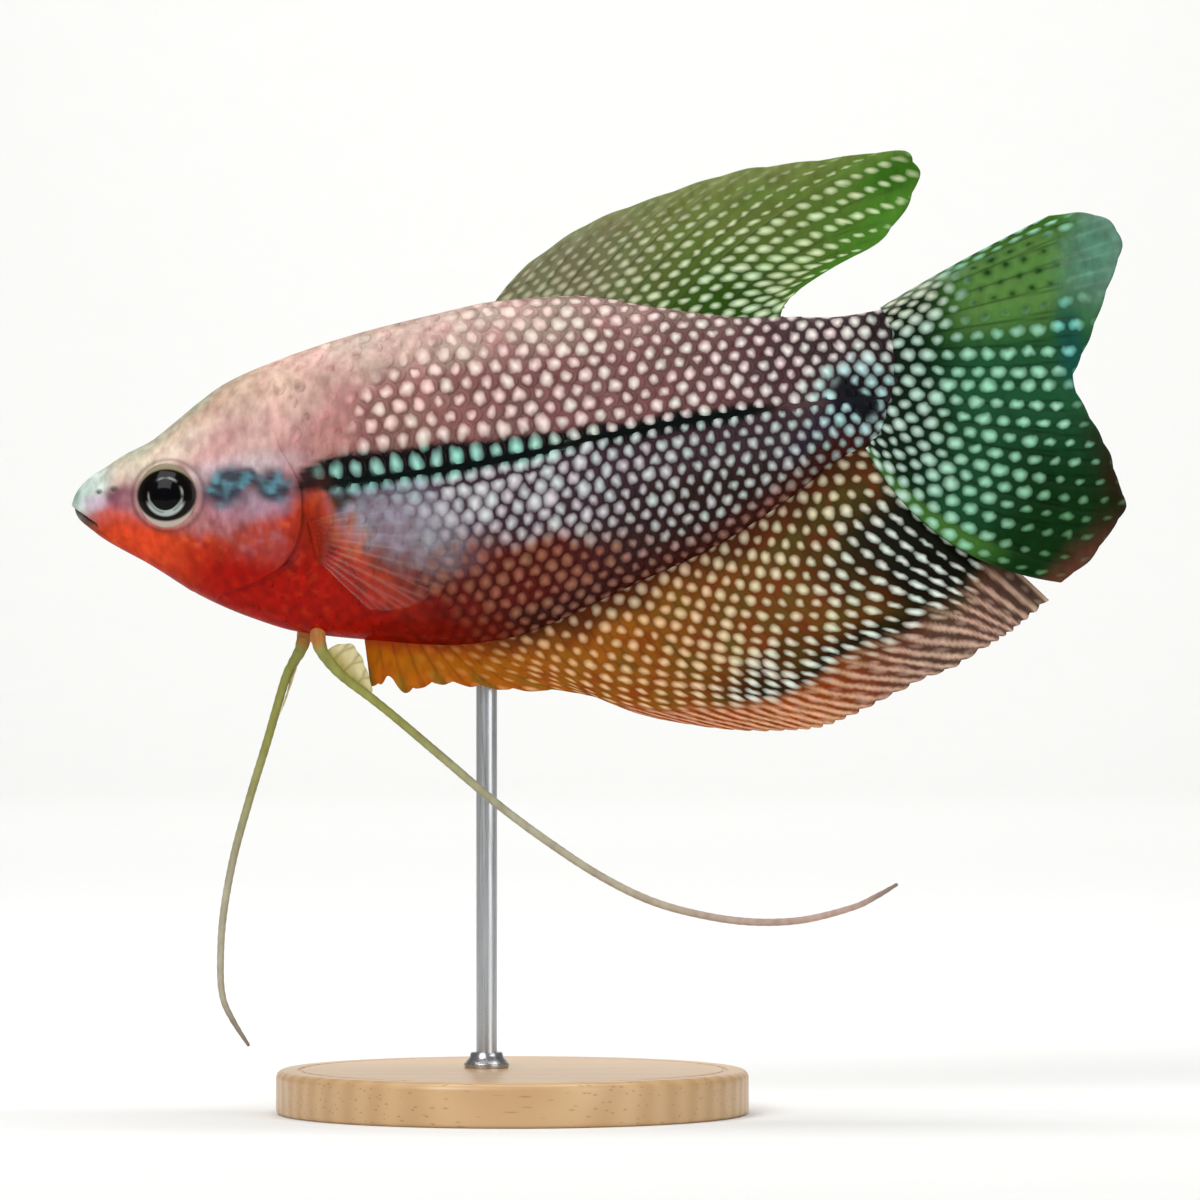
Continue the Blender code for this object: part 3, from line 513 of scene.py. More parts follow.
def head_colours(ground, x, z, wave, fine):
    """Washes the head's own colours over the ground ahead of the gill cover's edge."""
    head = 1 - ease(-37.0, -30.0, x + 0.7 * wave)
    brow = ease(-1.0, 2.6, z - np.interp(x, [-60, -50, -38, -30], [69.6, 72.0, 74.0, 76.0]))
    ground = wash(ground, "#BE968E", head * brow)
    ground = wash(ground, "#CBB09C", head * ease(1.5, 7.0, z - 76.0 + 0.5 * wave) * (0.8 + 0.2 * fine))
    ground = lay_patches(ground, x, z, fine, "brow")
    middle = head * (1 - brow) * ease(-1.2, 1.5, z - RED_TOP(x) + 0.6 * wave)
    ground = wash(ground, "#A27276", middle)
    ground = cheek_blush(lay_patches(ground, x, z, fine, "cheek"), x, z)
    ground = lay_patches(ground, x, z, fine, "throat")
    back_edge = ease(-1.9, -0.3, z - back(x) + 0.2 * wave)
    ground = wash(ground, "#8E9A84", 0.6 * back_edge * (1 - ease(-45, -38, x)))
    return head_marks(lay_patches(ground, x, z, fine, "snout"), x, z, wave, fine)


# %% All the colours of the body
def body_colours(x, z, h):
    """Ground colour, pearl colour, and the pearls' strength and size, at points of the body."""
    m = flank_masks(x, z, h)
    ground = red_breast(flank_ground(x, z, h, m), x, z, m)
    ground = head_colours(ground, x, z, m.wave, m.fine)
    ground = wash(ground, "#07100F", 0.9 * m.stripe * ease(-35.2, -33.8, x))
    size = 1.0 + 0.04 * ease(1.8, 4.0, -h) - 0.17 * m.dull + 0.16 * m.spot_rim
    return ground, flank_pearls(x, h, m), pearl_strength(x, z, h, m), size


# %% [markdown]
# ## Making a mesh with its colours
#
# Each piece is a grid of points with faces between them. Its ground and pearl colours, its place in the
# pattern and the pearls' size are kept on the mesh as attributes, which the material reads.

# %% From arrays to a piece
pieces = {}


def grid_faces(rows, columns, wrap=False, start=0):
    """The quads of a grid of points, row by row. With wrap, the last column joins the first."""
    i, k = np.meshgrid(np.arange(rows - 1), np.arange(columns if wrap else columns - 1), indexing="ij")
    after = (k + 1) % columns
    quads = [i * columns + k, i * columns + after, (i + 1) * columns + after, (i + 1) * columns + k]
    return start + np.stack(quads, -1).reshape(-1, 4)


def make_piece(name, points, faces, finish, replaced=(), marks=None, corners=None):
    """A smooth mesh from points in millimetres, riding on the model's one body.

    marks holds an array for each attribute. Colours and vectors both have three numbers for a point, so the
    names ground and pearl say which are colours. corners is the bake map's place for each corner of a face.
    """
    mesh = bpy.data.meshes.new(name)
    faces = faces if isinstance(faces, list) else faces.tolist()
    mesh.from_pydata((np.asarray(points) * MM).tolist(), [], faces)
    for mark, values in (marks or {}).items():
        values = np.asarray(values, float)
        if mark in ("ground", "pearl"):
            layer = mesh.attributes.new(mark, "FLOAT_COLOR", "POINT")
            layer.data.foreach_set("color", np.hstack([values, np.ones((len(values), 1))]).ravel())
        elif values.ndim == 2:
            mesh.attributes.new(mark, "FLOAT_VECTOR", "POINT").data.foreach_set("vector", values.ravel())
        else:
            mesh.attributes.new(mark, "FLOAT", "POINT").data.foreach_set("value", values)
    if corners is not None:
        mesh.uv_layers.new(name="OFBake").data.foreach_set("uv", np.asarray(corners, float).ravel())
    mesh.shade_smooth()
    mesh.materials.append(finish)
    made = bpy.data.objects.new(name, mesh)
    bpy.context.scene.collection.objects.link(made)
    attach(made, "root")
    if replaced:
        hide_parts(*replaced)
    pieces[name] = made
    print(name, len(mesh.polygons), "faces")
    return made


# %% [markdown]
# ## Shader nodes
#
# A material is a small graph of nodes. They could be wired by hand in the editor, but then nobody sees the
# numbers. So one function adds any node with its settings and links, and each finish below reads as a list
# of steps. A pattern's scale is worked out from the real size of its blobs, in millimetres.

# %% One function adds a shader node
COLOUR_MIX = dict(data_type="RGBA", out="Result")
SMOOTH = dict(interpolation_type="SMOOTHSTEP")


def wire(tree, node, inputs):
    """Sets the inputs of a node, from hex colours too, or links them to other nodes' outputs."""
    for socket, value in inputs.items():
        if isinstance(value, bpy.types.NodeSocket):
            tree.links.new(value, node.inputs[socket])
        elif isinstance(value, str):
            node.inputs[socket].default_value = (*linear(value), 1.0)
        else:
            node.inputs[socket].default_value = value


def add(tree, kind, inputs=(), out=0, **settings):
    """Adds a node with its settings, wires its inputs, and gives back one of its outputs."""
    made = tree.nodes.new("ShaderNode" + kind)
    for name, value in settings.items():
        setattr(made, name, value)
    wire(tree, made, dict(inputs))
    return made.outputs[out]


def new_finish(name):
    """An empty material with its surface shader and its node tree."""
    finish = bpy.data.materials.new(name)
    finish.use_nodes = True
    return finish, finish.node_tree, finish.node_tree.nodes["Principled BSDF"]


def blob_scale(size_mm):
    """The scale at which the blobs of a noise texture come out about size_mm wide."""
    return 0.28 / (size_mm * MM)


print("noise scale for 1 mm blobs", round(blob_scale(1.0)))

# %% [markdown]
# ## Pearls
#
# Each pearl is a patch of reflecting cells in the middle of one scale, round or a little tall, with a
# bright core that fades at its rim and a thin, dark ring of pigment round it. The pearls are drawn from the
# pattern's map: whole numbers give one set of centres, and half numbers give the second set, staggered
# between them. No two are quite alike in place and size. Colours stored on the mesh would blur between its
# points, so the material draws the pearls and keeps them crisp.

# %% Distance to the nearest pearl
PEARL_SIZES = (0.8, 1.18)


def draw_pearls(tree, waver):
    """Distance to the nearest pearl, in its own radii, and a chance value for each pearl."""
    lie = add(tree, "Attribute", attribute_name="lie", out="Vector")
    reach = add(tree, "Attribute", attribute_name="reach", out="Vector")
    shake = add(tree, "TexNoise", {"Vector": lie, "Scale": 1.8, "Detail": 1.5, "Roughness": 0.55},
                out="Color")
    shake = add(tree, "VectorMath", {0: shake, 1: (-0.5, -0.5, -0.5)}, operation="ADD")
    shake = add(tree, "VectorMath", {0: shake, 1: (waver, waver, 0.0)}, operation="MULTIPLY")
    moved = add(tree, "VectorMath", {0: lie, 1: shake}, operation="ADD")
    found = []
    for offset in (0.5, 0.0):
        shifted = add(tree, "VectorMath", {0: moved, 1: (offset, offset, 0.0)}, operation="ADD")
        cell = add(tree, "VectorMath", {0: shifted}, operation="FLOOR")
        local = add(tree, "VectorMath", {0: shifted}, operation="FRACTION")
        local = add(tree, "VectorMath", {0: local, 1: (0.5, 0.5, 0.0)}, operation="SUBTRACT")
        local = add(tree, "VectorMath", {0: local, 1: reach}, operation="MULTIPLY")
        seed = add(tree, "VectorMath", {0: cell, 1: (offset * 7.3, 3.1, 0.0)}, operation="ADD")
        chance = add(tree, "TexWhiteNoise", {"Vector": seed}, noise_dimensions="3D")
        far = add(tree, "VectorMath", {0: local}, operation="LENGTH", out="Value")
        size = add(tree, "MapRange", {"Value": chance, "To Min": PEARL_SIZES[0], "To Max": PEARL_SIZES[1]})
        far = add(tree, "Math", {0: far, 1: size}, operation="DIVIDE")
        found.append((far, chance))
    (far_a, chance_a), (far_b, chance_b) = found
    near = add(tree, "Math", {0: far_a, 1: far_b}, operation="MINIMUM")
    nearer = add(tree, "Math", {0: far_a, 1: far_b}, operation="LESS_THAN")
    chance = add(tree, "Mix", {"Factor": nearer, "A": chance_b, "B": chance_a}, data_type="FLOAT")
    return near, chance


# %% [markdown]
# ## Wet, pigmented skin
#
# Fish skin is clear slime over soft skin full of pigment cells. The slime gives the eye a glossy but uneven
# sheen, and the cells give it a grain: soft mottles a few millimetres wide, rosy and olive clouds, and dots
# that are really about a tenth of a millimetre and are drawn 0.3 mm wide so that they show. A clear coat
# with the refractive index of water carries the gloss, so the skin's own highlight is turned off. One
# function makes all such finishes, because skin, scales, fins and feelers differ only in how strong each
# part is.

# %% Pigment under the slime
MOTTLE_MM, CLOUD_MM, DOT_MM = 2.2, 1.3, 0.3


def pigment(tree, place, mottle_by, tint_by, speck):
    """The ground colour made uneven, with the mottle and the dots that made it so."""
    ground = add(tree, "Attribute", attribute_name="ground", out="Color")
    mottle = add(tree, "TexNoise", {"Vector": place, "Scale": blob_scale(MOTTLE_MM), "Detail": 4.0,
                                    "Roughness": 0.62})
    shade = add(tree, "MapRange", {"Value": mottle, "From Min": 0.3, "From Max": 0.7, "To Min": 1 - mottle_by,
                                   "To Max": 1 + mottle_by})
    ground = add(tree, "VectorMath", {0: ground, 1: shade}, operation="MULTIPLY")
    cloud = add(tree, "TexNoise", {"Vector": place, "Scale": blob_scale(CLOUD_MM), "Detail": 2.0})
    cloud = add(tree, "MapRange", {"Value": cloud, "From Min": 0.36, "From Max": 0.64})
    half = 0.5 * tint_by
    rosy, olive = (1 + half, 1 - half, 1, 1), (1 - half, 1 + 0.4 * half, 1, 1)
    cloud = add(tree, "Mix", {"Factor": cloud, "A": rosy, "B": olive}, **COLOUR_MIX)
    ground = add(tree, "VectorMath", {0: ground, 1: cloud}, operation="MULTIPLY")
    upright = add(tree, "VectorMath", {0: place, 1: (1.0, 1.0, 0.55)}, operation="MULTIPLY")
    dots = add(tree, "TexNoise", {"Vector": upright, "Scale": blob_scale(DOT_MM), "Detail": 2.0})
    dotted = add(tree, "MapRange", {"Value": dots, "From Min": 0.28, "From Max": 0.68})
    dim, lit = (1 - speck, 1 - 1.3 * speck, 1 - 1.25 * speck, 1), (1 + 0.7 * speck,) * 3 + (1,)
    dotted = add(tree, "Mix", {"Factor": dotted, "A": dim, "B": lit}, **COLOUR_MIX)
    return add(tree, "VectorMath", {0: ground, 1: dotted}, operation="MULTIPLY"), mottle, dots


# %% The dark ring and the pearl itself
def pearl_ring(tree, ground, near, strength, dots, net, net_share):
    """The ground with a thin, uneven, dark ring round each pearl."""
    ring = add(tree, "MapRange", {"Value": near, "From Min": 0.8, "From Max": 1.25}, **SMOOTH)
    past = add(tree, "MapRange", {"Value": near, "From Min": 1.35, "From Max": 1.8, "To Min": 1.0,
                                  "To Max": 0.6})
    uneven = add(tree, "MapRange", {"Value": dots, "From Min": 0.4, "From Max": 0.6, "To Min": 0.4})
    for factor in (past, strength, uneven, net_share):
        ring = add(tree, "Math", {0: ring, 1: factor}, operation="MULTIPLY")
    return add(tree, "Mix", {"Factor": ring, "A": ground, "B": net}, **COLOUR_MIX)


def pearl_fill(tree, near, chance, strength, pearl_soft):
    """How much of a place is pearl. The rim fades out over a share of the pearl's radius."""
    fill = add(tree, "MapRange", {"Value": near, "From Min": 1.0 + pearl_soft * 0.5,
                                  "From Max": 1.0 - pearl_soft})
    vary = add(tree, "MapRange", {"Value": chance, "To Min": 0.74, "To Max": 1.0})
    for factor in (vary, strength):
        fill = add(tree, "Math", {0: fill, 1: factor}, operation="MULTIPLY")
    return fill


def pearl_colour(tree, chance, tint_by):
    """The pearl's own colour, a little pinker or cooler from one pearl to the next."""
    pearl = add(tree, "Attribute", attribute_name="pearl", out="Color")
    hue = add(tree, "Math", {0: chance, 1: 7.0}, operation="MULTIPLY")
    hue = add(tree, "Math", {0: hue}, operation="FRACT")
    pink, cool = (1 + 0.4 * tint_by, 1 - 0.4 * tint_by, 1, 1), (1 - 0.5 * tint_by, 1 + 0.2 * tint_by, 1, 1)
    hue = add(tree, "Mix", {"Factor": hue, "A": pink, "B": cool}, **COLOUR_MIX)
    return add(tree, "VectorMath", {0: pearl, 1: hue}, operation="MULTIPLY")


# %% Skin and scales
WATER_IOR = 1.34
SLIME_ROUGHNESS = 0.2


def skin_finish(name, net="#1E0B0E", net_share=0.62, waver=0.34, rough=0.40, coat=0.28, grain_mm=0.35,
                pearl_soft=0.58, clear=False, bump=0.2, speck=0.36, mottle_by=0.10, tint_by=0.0):
    """Pigmented, wet skin or fin: uneven ground, a dark ring round each pearl, and the pearls themselves."""
    finish, tree, surface = new_finish(name)
    strength = add(tree, "Attribute", attribute_name="strength", out="Fac")
    near, chance = draw_pearls(tree, waver)
    place = add(tree, "TexCoord", out="Object")
    ground, mottle, dots = pigment(tree, place, mottle_by, tint_by, speck)
    colour = pearl_ring(tree, ground, near, strength, dots, net, net_share)
    fill = pearl_fill(tree, near, chance, strength, pearl_soft)
    pearl = pearl_colour(tree, chance, tint_by)
    colour = add(tree, "Mix", {"Factor": fill, "A": colour, "B": pearl}, **COLOUR_MIX)
    grain = add(tree, "TexNoise", {"Vector": place, "Scale": blob_scale(grain_mm), "Detail": 3.0})
    height = add(tree, "Math", {0: grain, 1: fill}, operation="ADD")
    relief = add(tree, "Bump", {"Height": height, "Strength": bump, "Distance": 0.05 * MM})
    gloss = add(tree, "MapRange", {"Value": mottle, "From Min": 0.3, "From Max": 0.7, "To Min": rough - 0.08,
                                   "To Max": rough + 0.12})
    wire(tree, surface, {"Base Color": colour, "Normal": relief, "Roughness": gloss,
                         "Specular IOR Level": 0.0, "Coat Weight": coat, "Coat Roughness": SLIME_ROUGHNESS,
                         "Coat IOR": WATER_IOR})
    if clear:
        wire(tree, surface, {"Alpha": add(tree, "Attribute", attribute_name="opacity", out="Fac")})
    print("finish", name, len(tree.nodes), "nodes")
    return finish


wet_skin = skin_finish("wet_pigmented_skin", speck=0.24, pearl_soft=0.8, tint_by=0.07)
wet_scale = skin_finish("wet_scale_with_pearl", bump=0.15, pearl_soft=0.8, tint_by=0.16)

# %% [markdown]
# ## The skin
#
# One closed mesh runs from the lips to the root of the tail fin. The folds of the head are lifted or sunk
# by a small function of place: lips and mouth, nostrils, the rim of each eye socket, the groove ahead of
# the gill cover, the jaw and the brow. Sculpting by hand would do, but a function gives both sides alike.
# Each fold is a bell across a line, a few tenths of a millimetre high, as on the fish.

# %% The way the eyes look
def eye_axis(side):
    """The direction an eye looks in: out, a little ahead and up."""
    level = math.cos(EYE_TILT)
    return np.array([-math.sin(EYE_YAW) * level, side * math.cos(EYE_YAW) * level, math.sin(EYE_TILT)])


print("the left eye looks along", eye_axis(-1).round(2))

# %% Folds of the head
GROOVE_LINE = ([58, 62, 66, 70, 74, 78], [-47.5, -43.6, -41.9, -42.0, -43.2, -45.0])
JAW_LINE = ([-57, -52, -46, -42], [66.4, 64.6, 62.2, 60.0])
BROW_LINE = ([-56, -50, -44], [73.3, 74.9, 73.6])


def mouth_relief(x, z):
    """Two lips with a deep groove between them, and a small fold behind the corner of the mouth."""
    from_front = np.stack([x, z], 1) - MOUTH_FRONT
    t = from_front @ MOUTH_ALONG / MOUTH_LONG
    off_line = from_front @ np.array([-MOUTH_ALONG[1], MOUTH_ALONG[0]])
    lips = 0.20 * bell(np.abs(off_line) - 0.46, 0.24) - 0.62 * bell(off_line, 0.14)
    return (1 - ease(0.92, 1.06, t)) * lips + 0.10 * bell(t - 1.18, 0.14) * bell(off_line, 0.6)


def socket_relief(points, side):
    """The rim of one eye's socket, with the hollow that the eyeball sits in."""
    axis = eye_axis(side)
    away = points - np.array([EYE_X, side * EYE_Y, EYE_Z])
    r = np.linalg.norm(away - (away @ axis)[:, None] * axis, axis=1)
    on_side = (np.sign(points[:, 1]) == side) | (np.abs(points[:, 1]) < 1e-6)
    rim = 0.20 * bell(r - 3.72, 0.24) - 0.06 * bell(r - 4.5, 0.35)
    hollow = -1.5 * (1 - ease(LID_RADIUS - 0.28, LID_RADIUS + 0.08, r))
    return np.where(on_side, rim + hollow, 0)


def head_relief(points):
    """How far the skin is lifted or sunk at points of the head."""
    x, _, z = points.T
    lift = mouth_relief(x, z)
    for nx, nz, radius in NOSTRILS:
        r = np.hypot(x - nx, z - nz)
        lift += 0.16 * bell(r - radius, 0.13) - 0.45 * bell(r, 0.62 * radius)
    for side in (-1, 1):
        lift += socket_relief(points, side)
    groove = np.interp(z, *GROOVE_LINE)
    groove_ends = ease(58, 62, z) * (1 - ease(72, 76, z))
    lift += (0.10 * bell(x - groove + 0.9, 0.7) - 0.16 * bell(x - groove, 0.35)) * groove_ends
    lift -= 0.10 * bell(z - np.interp(x, *JAW_LINE), 0.3) * ease(-57.5, -56, x) * (1 - ease(-47, -43, x))
    lift += 0.07 * bell(z - np.interp(x, *BROW_LINE), 0.5) * ease(-56, -53, x) * (1 - ease(-47, -44, x))
    return lift


# %% [markdown]
# ### Rings that follow the gill cover
#
# The gill cover is a thin bony flap with a free rear edge. Straight rings would cut across that edge and
# tear it into steps. So the rings bend with it: those of the head swell up to the edge, a few close ones
# fold over it as a lip and go in under it, and those of the trunk carry on behind. Where the cover is
# joined to the head above and below, the lip fades into plain skin. Behind it the skin lies a little deep,
# to make room for the scales.

# %% Three kinds of ring
HEAD_RINGS, TRUNK_RINGS, SKIN_AROUND = 150, 190, 200
COAT_DEPTH = 0.16
COVER_SWELL = 0.40
TAPER = 0.5
AHEAD_OF_LIP, PAST_TAIL_EDGE = 0.7, 0.15
# Places on the lip, from its swell over its edge and in under it: along x from the edge, and lift.
GILL_LIP = [
    (-0.55, 0.40), (-0.30, 0.41), (-0.12, 0.38), (-0.02, 0.30), (0.02, 0.20), (-0.02, 0.10), (-0.14, 0.02),
    (-0.16, -0.12), (0.02, -0.20), (0.30, -0.20), (0.75, -0.17),
]
LIP_START, LIP_END = GILL_LIP[0][0], GILL_LIP[-1][0]


def cover(angle):
    """Where round the head the gill cover has a free edge."""
    return ease(-86, -50, angle) * (1 - ease(14, 36, angle))


def head_ring(angle, share):
    """x and lift of a ring between the snout and the gill cover's edge."""
    swell = ease(0.5, 0.93, share) * cover(angle)
    x = SNOUT_X + 0.02 + (gill_edge(angle) - AHEAD_OF_LIP - SNOUT_X) * share
    return x, COVER_SWELL * swell - COAT_DEPTH * (1 - 0.75 * swell)


def lip_ring(angle, number):
    """x and lift of a ring over the lip, which is plain skin where the cover has no free edge."""
    offset, lift = GILL_LIP[number]
    plain = LIP_START + (LIP_END - LIP_START) * number / (len(GILL_LIP) - 1)
    x = gill_edge(angle) + plain + (offset - plain) * cover(angle)
    return x, lift * cover(angle) - COAT_DEPTH * (1 - cover(angle))


def trunk_ring(angle, share):
    """x and lift of a ring between the gill cover and the root of the tail fin, where the body tapers off."""
    start = gill_edge(angle) + LIP_END
    x = start + (tail_edge(angle) + PAST_TAIL_EDGE - start) * share
    sunk = COAT_DEPTH + 0.04 * (1 - ease(0.0, 0.02, share)) * cover(angle)
    return x, -sunk - TAPER * ease(0.95, 1.0, share) * np.cos(np.radians(angle))


def skin_rings(angle):
    """x and lift of every ring at these angles, from the snout to the tail."""
    rings = [head_ring(angle, (i / HEAD_RINGS) ** 1.55) for i in range(HEAD_RINGS)]
    rings += [lip_ring(angle, number) for number in range(len(GILL_LIP))]
    return rings + [trunk_ring(angle, i / TRUNK_RINGS) for i in range(1, TRUNK_RINGS + 1)]


# %% How large a pearl is in the pattern
PEARL_HALF_LONG, PEARL_HALF_TALL = (0.64, 0.60), (0.78, 0.70)  # below and above the stripe


def pearl_reach(x, h, size, part):
    """One pearl step and one pair of rows, each counted in the pearl's own half length and half height."""
    aft = ease(-20, 6, x)
    beside = (1 - ease(3.0, 4.2, np.abs(h))) * (1 - ease(-14, 2, x))
    tall = PEARL_HALF_TALL[part]
    tall = tall * (1 - 0.3 * beside) if part == BELOW else tall
    far = ease(-6, 14, x) * (0.16 if part == BELOW else 0.05)
    half_long = (PEARL_HALF_LONG[part] - 0.03 * aft - far + 0.08 * beside) * size
    half_tall = (tall - 0.10 * aft - far) * size
    return np.stack([PEARL_STEPS[part](x) / half_long, 2 * ROW_STEPS[part](x) / half_tall, 0 * x], 1)


# %% The skin's mesh
SKIN_ROWS = HEAD_RINGS + len(GILL_LIP) + TRUNK_RINGS


def bake_place(x, angle, side):
    """Where a place on the trunk lies on the skin's own unwrap: ring by ring, and round from the belly."""
    start = gill_edge(angle) + LIP_END
    share = (x - start) / (tail_edge(angle) + PAST_TAIL_EDGE - start)
    ring = HEAD_RINGS + len(GILL_LIP) - 1 + TRUNK_RINGS * share
    return np.stack([ring / SKIN_ROWS, (angle + 90 if side > 0 else 270 - angle) / 360], 1)


def ring_marks(x, angle, z):
    """The colours and the pattern of one ring. The two parts of the pattern meet in a seam with no pearls."""
    h = height_over_stripe(x, angle)
    from_seam = off_seam(x, h)
    over = (from_seam > 0)[:, None]
    ground, pearl, strength, size = body_colours(x, z, h)
    low, high = (np.stack([*lie_of(x, angle, z, part), 0 * x], 1) for part in (BELOW, ABOVE))
    reach = np.where(over, pearl_reach(x, h, size, ABOVE), pearl_reach(x, h, size, BELOW))
    strength = strength * ease(0.45, 0.8, np.abs(from_seam))
    return dict(ground=ground, pearl=pearl, lie=np.where(over, high, low), reach=reach, strength=strength)


def end_caps():
    """Strips from side to side that close the first ring and the last."""
    caps = []
    for start in (0, (SKIN_ROWS - 1) * SKIN_AROUND):
        for j in range(SKIN_AROUND // 2):
            low, high = (SKIN_AROUND - j) % SKIN_AROUND, SKIN_AROUND - j - 1
            caps.append(list(dict.fromkeys([start + j, start + j + 1, start + high, start + low])))
    return caps


def build_skin():
    """Lofts the skin through its rings, then closes its two ends."""
    turn = 360 * np.arange(SKIN_AROUND) / SKIN_AROUND - 90
    side = np.where(turn <= 90, 1, -1)
    angle = np.where(turn <= 90, turn, 180 - turn)
    points, rings = [], []
    for x, lift in skin_rings(angle):
        bare = flank(x, angle, 0.0, side)
        points.append(flank(x, angle, lift + head_relief(bare) * (1 - ease(-40, -37, x)), side))
        rings.append(ring_marks(x, angle, bare[:, 2]))
    marks = {mark: np.concatenate([ring[mark] for ring in rings]) for mark in rings[0]}
    faces, caps = grid_faces(SKIN_ROWS, SKIN_AROUND, wrap=True), end_caps()
    i, k = np.divmod(np.arange(len(faces)), SKIN_AROUND)
    corners = np.stack([i, k, i, k + 1, i + 1, k + 1, i + 1, k], 1).reshape(-1, 2) / [SKIN_ROWS, SKIN_AROUND]
    corners = np.vstack([corners, np.full((sum(map(len, caps)), 2), 0.5 / SKIN_ROWS)])
    return np.vstack(points), [*faces.tolist(), *caps], marks, corners


points, faces, marks, corners = build_skin()
make_piece("skin", points, faces, wet_skin, ("head", "trunk", "tail_stalk"), marks, corners)

# %% [markdown]
# ## Scales
#
# Each scale is a thin plate, rounded behind, whose front half slips under the scales ahead of it, like roof
# tiles. It is a closed solid, so it keeps its shape in the exported model. One scale sits on each pearl of
# the pattern's map, and each point of it is set on the flank and then lifted more and more towards the free
# edge. Copies of one plate, laid on by their places, would be lighter, but they couldn't bend with the
# flank.

# %% One plate
SCALE_LONG, SCALE_HIGH = 7, 8
SCALE_LIFT, SCALE_THICK = 0.135, 0.06


def plate_shape():
    """Places on one scale, in pearl steps and pairs of rows, with its shares of the way back and across."""
    u, w = np.meshgrid(np.linspace(0, 1, SCALE_LONG), np.linspace(-1, 1, SCALE_HIGH), indexing="ij")
    u, w = u.ravel(), w.ravel()
    return -0.62 + 1.20 * u - 0.26 * w * w * u, w * (0.41 - 0.15 * u * u), u, w


def plate_faces(rows, columns):
    """The quads of one closed plate: its top, its underside and its rim."""
    count = rows * columns
    top = grid_faces(rows, columns)
    under = top[:, ::-1] + count
    ring = list(range(columns))
    ring += [r * columns + columns - 1 for r in range(1, rows)]
    ring += [(rows - 1) * columns + k for k in range(columns - 2, -1, -1)]
    ring += [r * columns for r in range(rows - 2, 0, -1)]
    rim = [(b, a, a + count, b + count) for a, b in zip(ring, ring[1:] + ring[:1])]
    return np.vstack([top, under, np.array(rim)])


print("one scale", len(plate_faces(SCALE_LONG, SCALE_HIGH)), "faces")

# %% Where the scales sit
def scale_centres(part):
    """The pearls of one map that lie on the trunk and the tail stalk."""
    p, q = np.meshgrid(np.arange(8, 64), np.arange(0, 12) if part == ABOVE else np.arange(-14, 0))
    p, q = np.concatenate([p.ravel(), p.ravel() + 0.5]), np.concatenate([q.ravel(), q.ravel() + 0.5])
    x, angle, inside = place_of(p, q, part)
    keep = inside & (x > gill_edge(angle) + 1.0) & (x < tail_edge(angle) - 0.2) & (np.abs(angle) < 87)
    return p[keep], q[keep]


def narrowed_at_seam(q, across, part):
    """Places across the scales. Those beside the seam between the two maps stop at it."""
    next_to_seam = (q == 0 if part == ABOVE else q == -0.5)[:, None]
    over_seam = across < 0 if part == ABOVE else across > 0
    return np.where(next_to_seam & over_seam, (0.6 if part == ABOVE else 0.64) * across, across)


def plate_lift(x, angle, u, w, strength, from_seam, rng):
    """How far each point of the scales is lifted. Scales without a pearl lie flatter."""
    edge = 1 - np.abs(w) ** 3
    relief = SCALE_LIFT * (0.4 + 0.6 * strength.reshape(x.shape).mean(1, keepdims=True))
    relief = relief * (1 + 0.2 * rng.standard_normal((len(x), 1)))
    relief = relief * ease(-0.05, 0.5, from_seam)
    lift = -COAT_DEPTH - 0.05 + relief * u * (0.55 + 0.45 * edge)
    lift = lift - TAPER * ease(-3.0, 0.5, x - tail_edge(angle)) * np.cos(np.radians(angle))
    return lift, 0.02 * bell(u - 0.62, 0.22) * edge


print("scales on each flank", sum(len(scale_centres(part)[0]) for part in (BELOW, ABOVE)))

# %% Both coats
BAKE_PATCH = 0.003


def top_and_under(values, count):
    """Values for the tops of the plates, count points each, repeated for their undersides."""
    plates = values.reshape(-1, count, values.shape[-1])
    return np.concatenate([plates] * 2, axis=1).reshape(-1, values.shape[-1])


def lay_scales(part, side, rng):
    """The points, marks and bake places of all the scales of one map on one flank."""
    along, across, u, w = plate_shape()
    count = len(u)
    p, q = scale_centres(part)
    x, angle, _ = place_of(p[:, None] + along, q[:, None] + narrowed_at_seam(q, across, part), part)
    x = np.maximum(x, gill_edge(angle) + 0.25)
    bare = flank(x, angle, 0.0, side)
    h = height_over_stripe(x, angle)
    from_seam = off_seam(x, h) if part == ABOVE else -off_seam(x, h)
    flat_x, flat_z, flat_h = x.ravel(), bare[..., 2].ravel(), h.ravel()
    ground, pearl, strength, size = body_colours(flat_x, flat_z, flat_h)
    lift, crown = plate_lift(x, angle, u, w, strength, from_seam, rng)
    tone = np.repeat(1 + 0.08 * rng.standard_normal(len(p)), count)[:, None]
    lie = np.stack([*lie_of(flat_x, angle.ravel(), flat_z, part), 0 * flat_x], 1)
    strength = strength * ease(0.02, 0.22, from_seam.ravel())
    marks = dict(ground=np.clip(ground * tone, 0, 1), pearl=pearl, lie=lie,
                 reach=pearl_reach(flat_x, flat_h, size, part), strength=strength[:, None])
    marks = {mark: top_and_under(values, count) for mark, values in marks.items()}
    marks["strength"] = marks["strength"][:, 0]
    top, under = flank(x, angle, lift + crown, side), flank(x, angle, lift - SCALE_THICK, side)
    centre_x, centre_angle, _ = place_of(p, q, part)
    local = np.stack([u - 0.5, w / 2], 1) * BAKE_PATCH
    spots = bake_place(centre_x, centre_angle, side)[:, None] + np.concatenate([local, local])[None]
    return np.concatenate([top, under], axis=1).reshape(-1, 3), marks, spots.reshape(-1, 2)


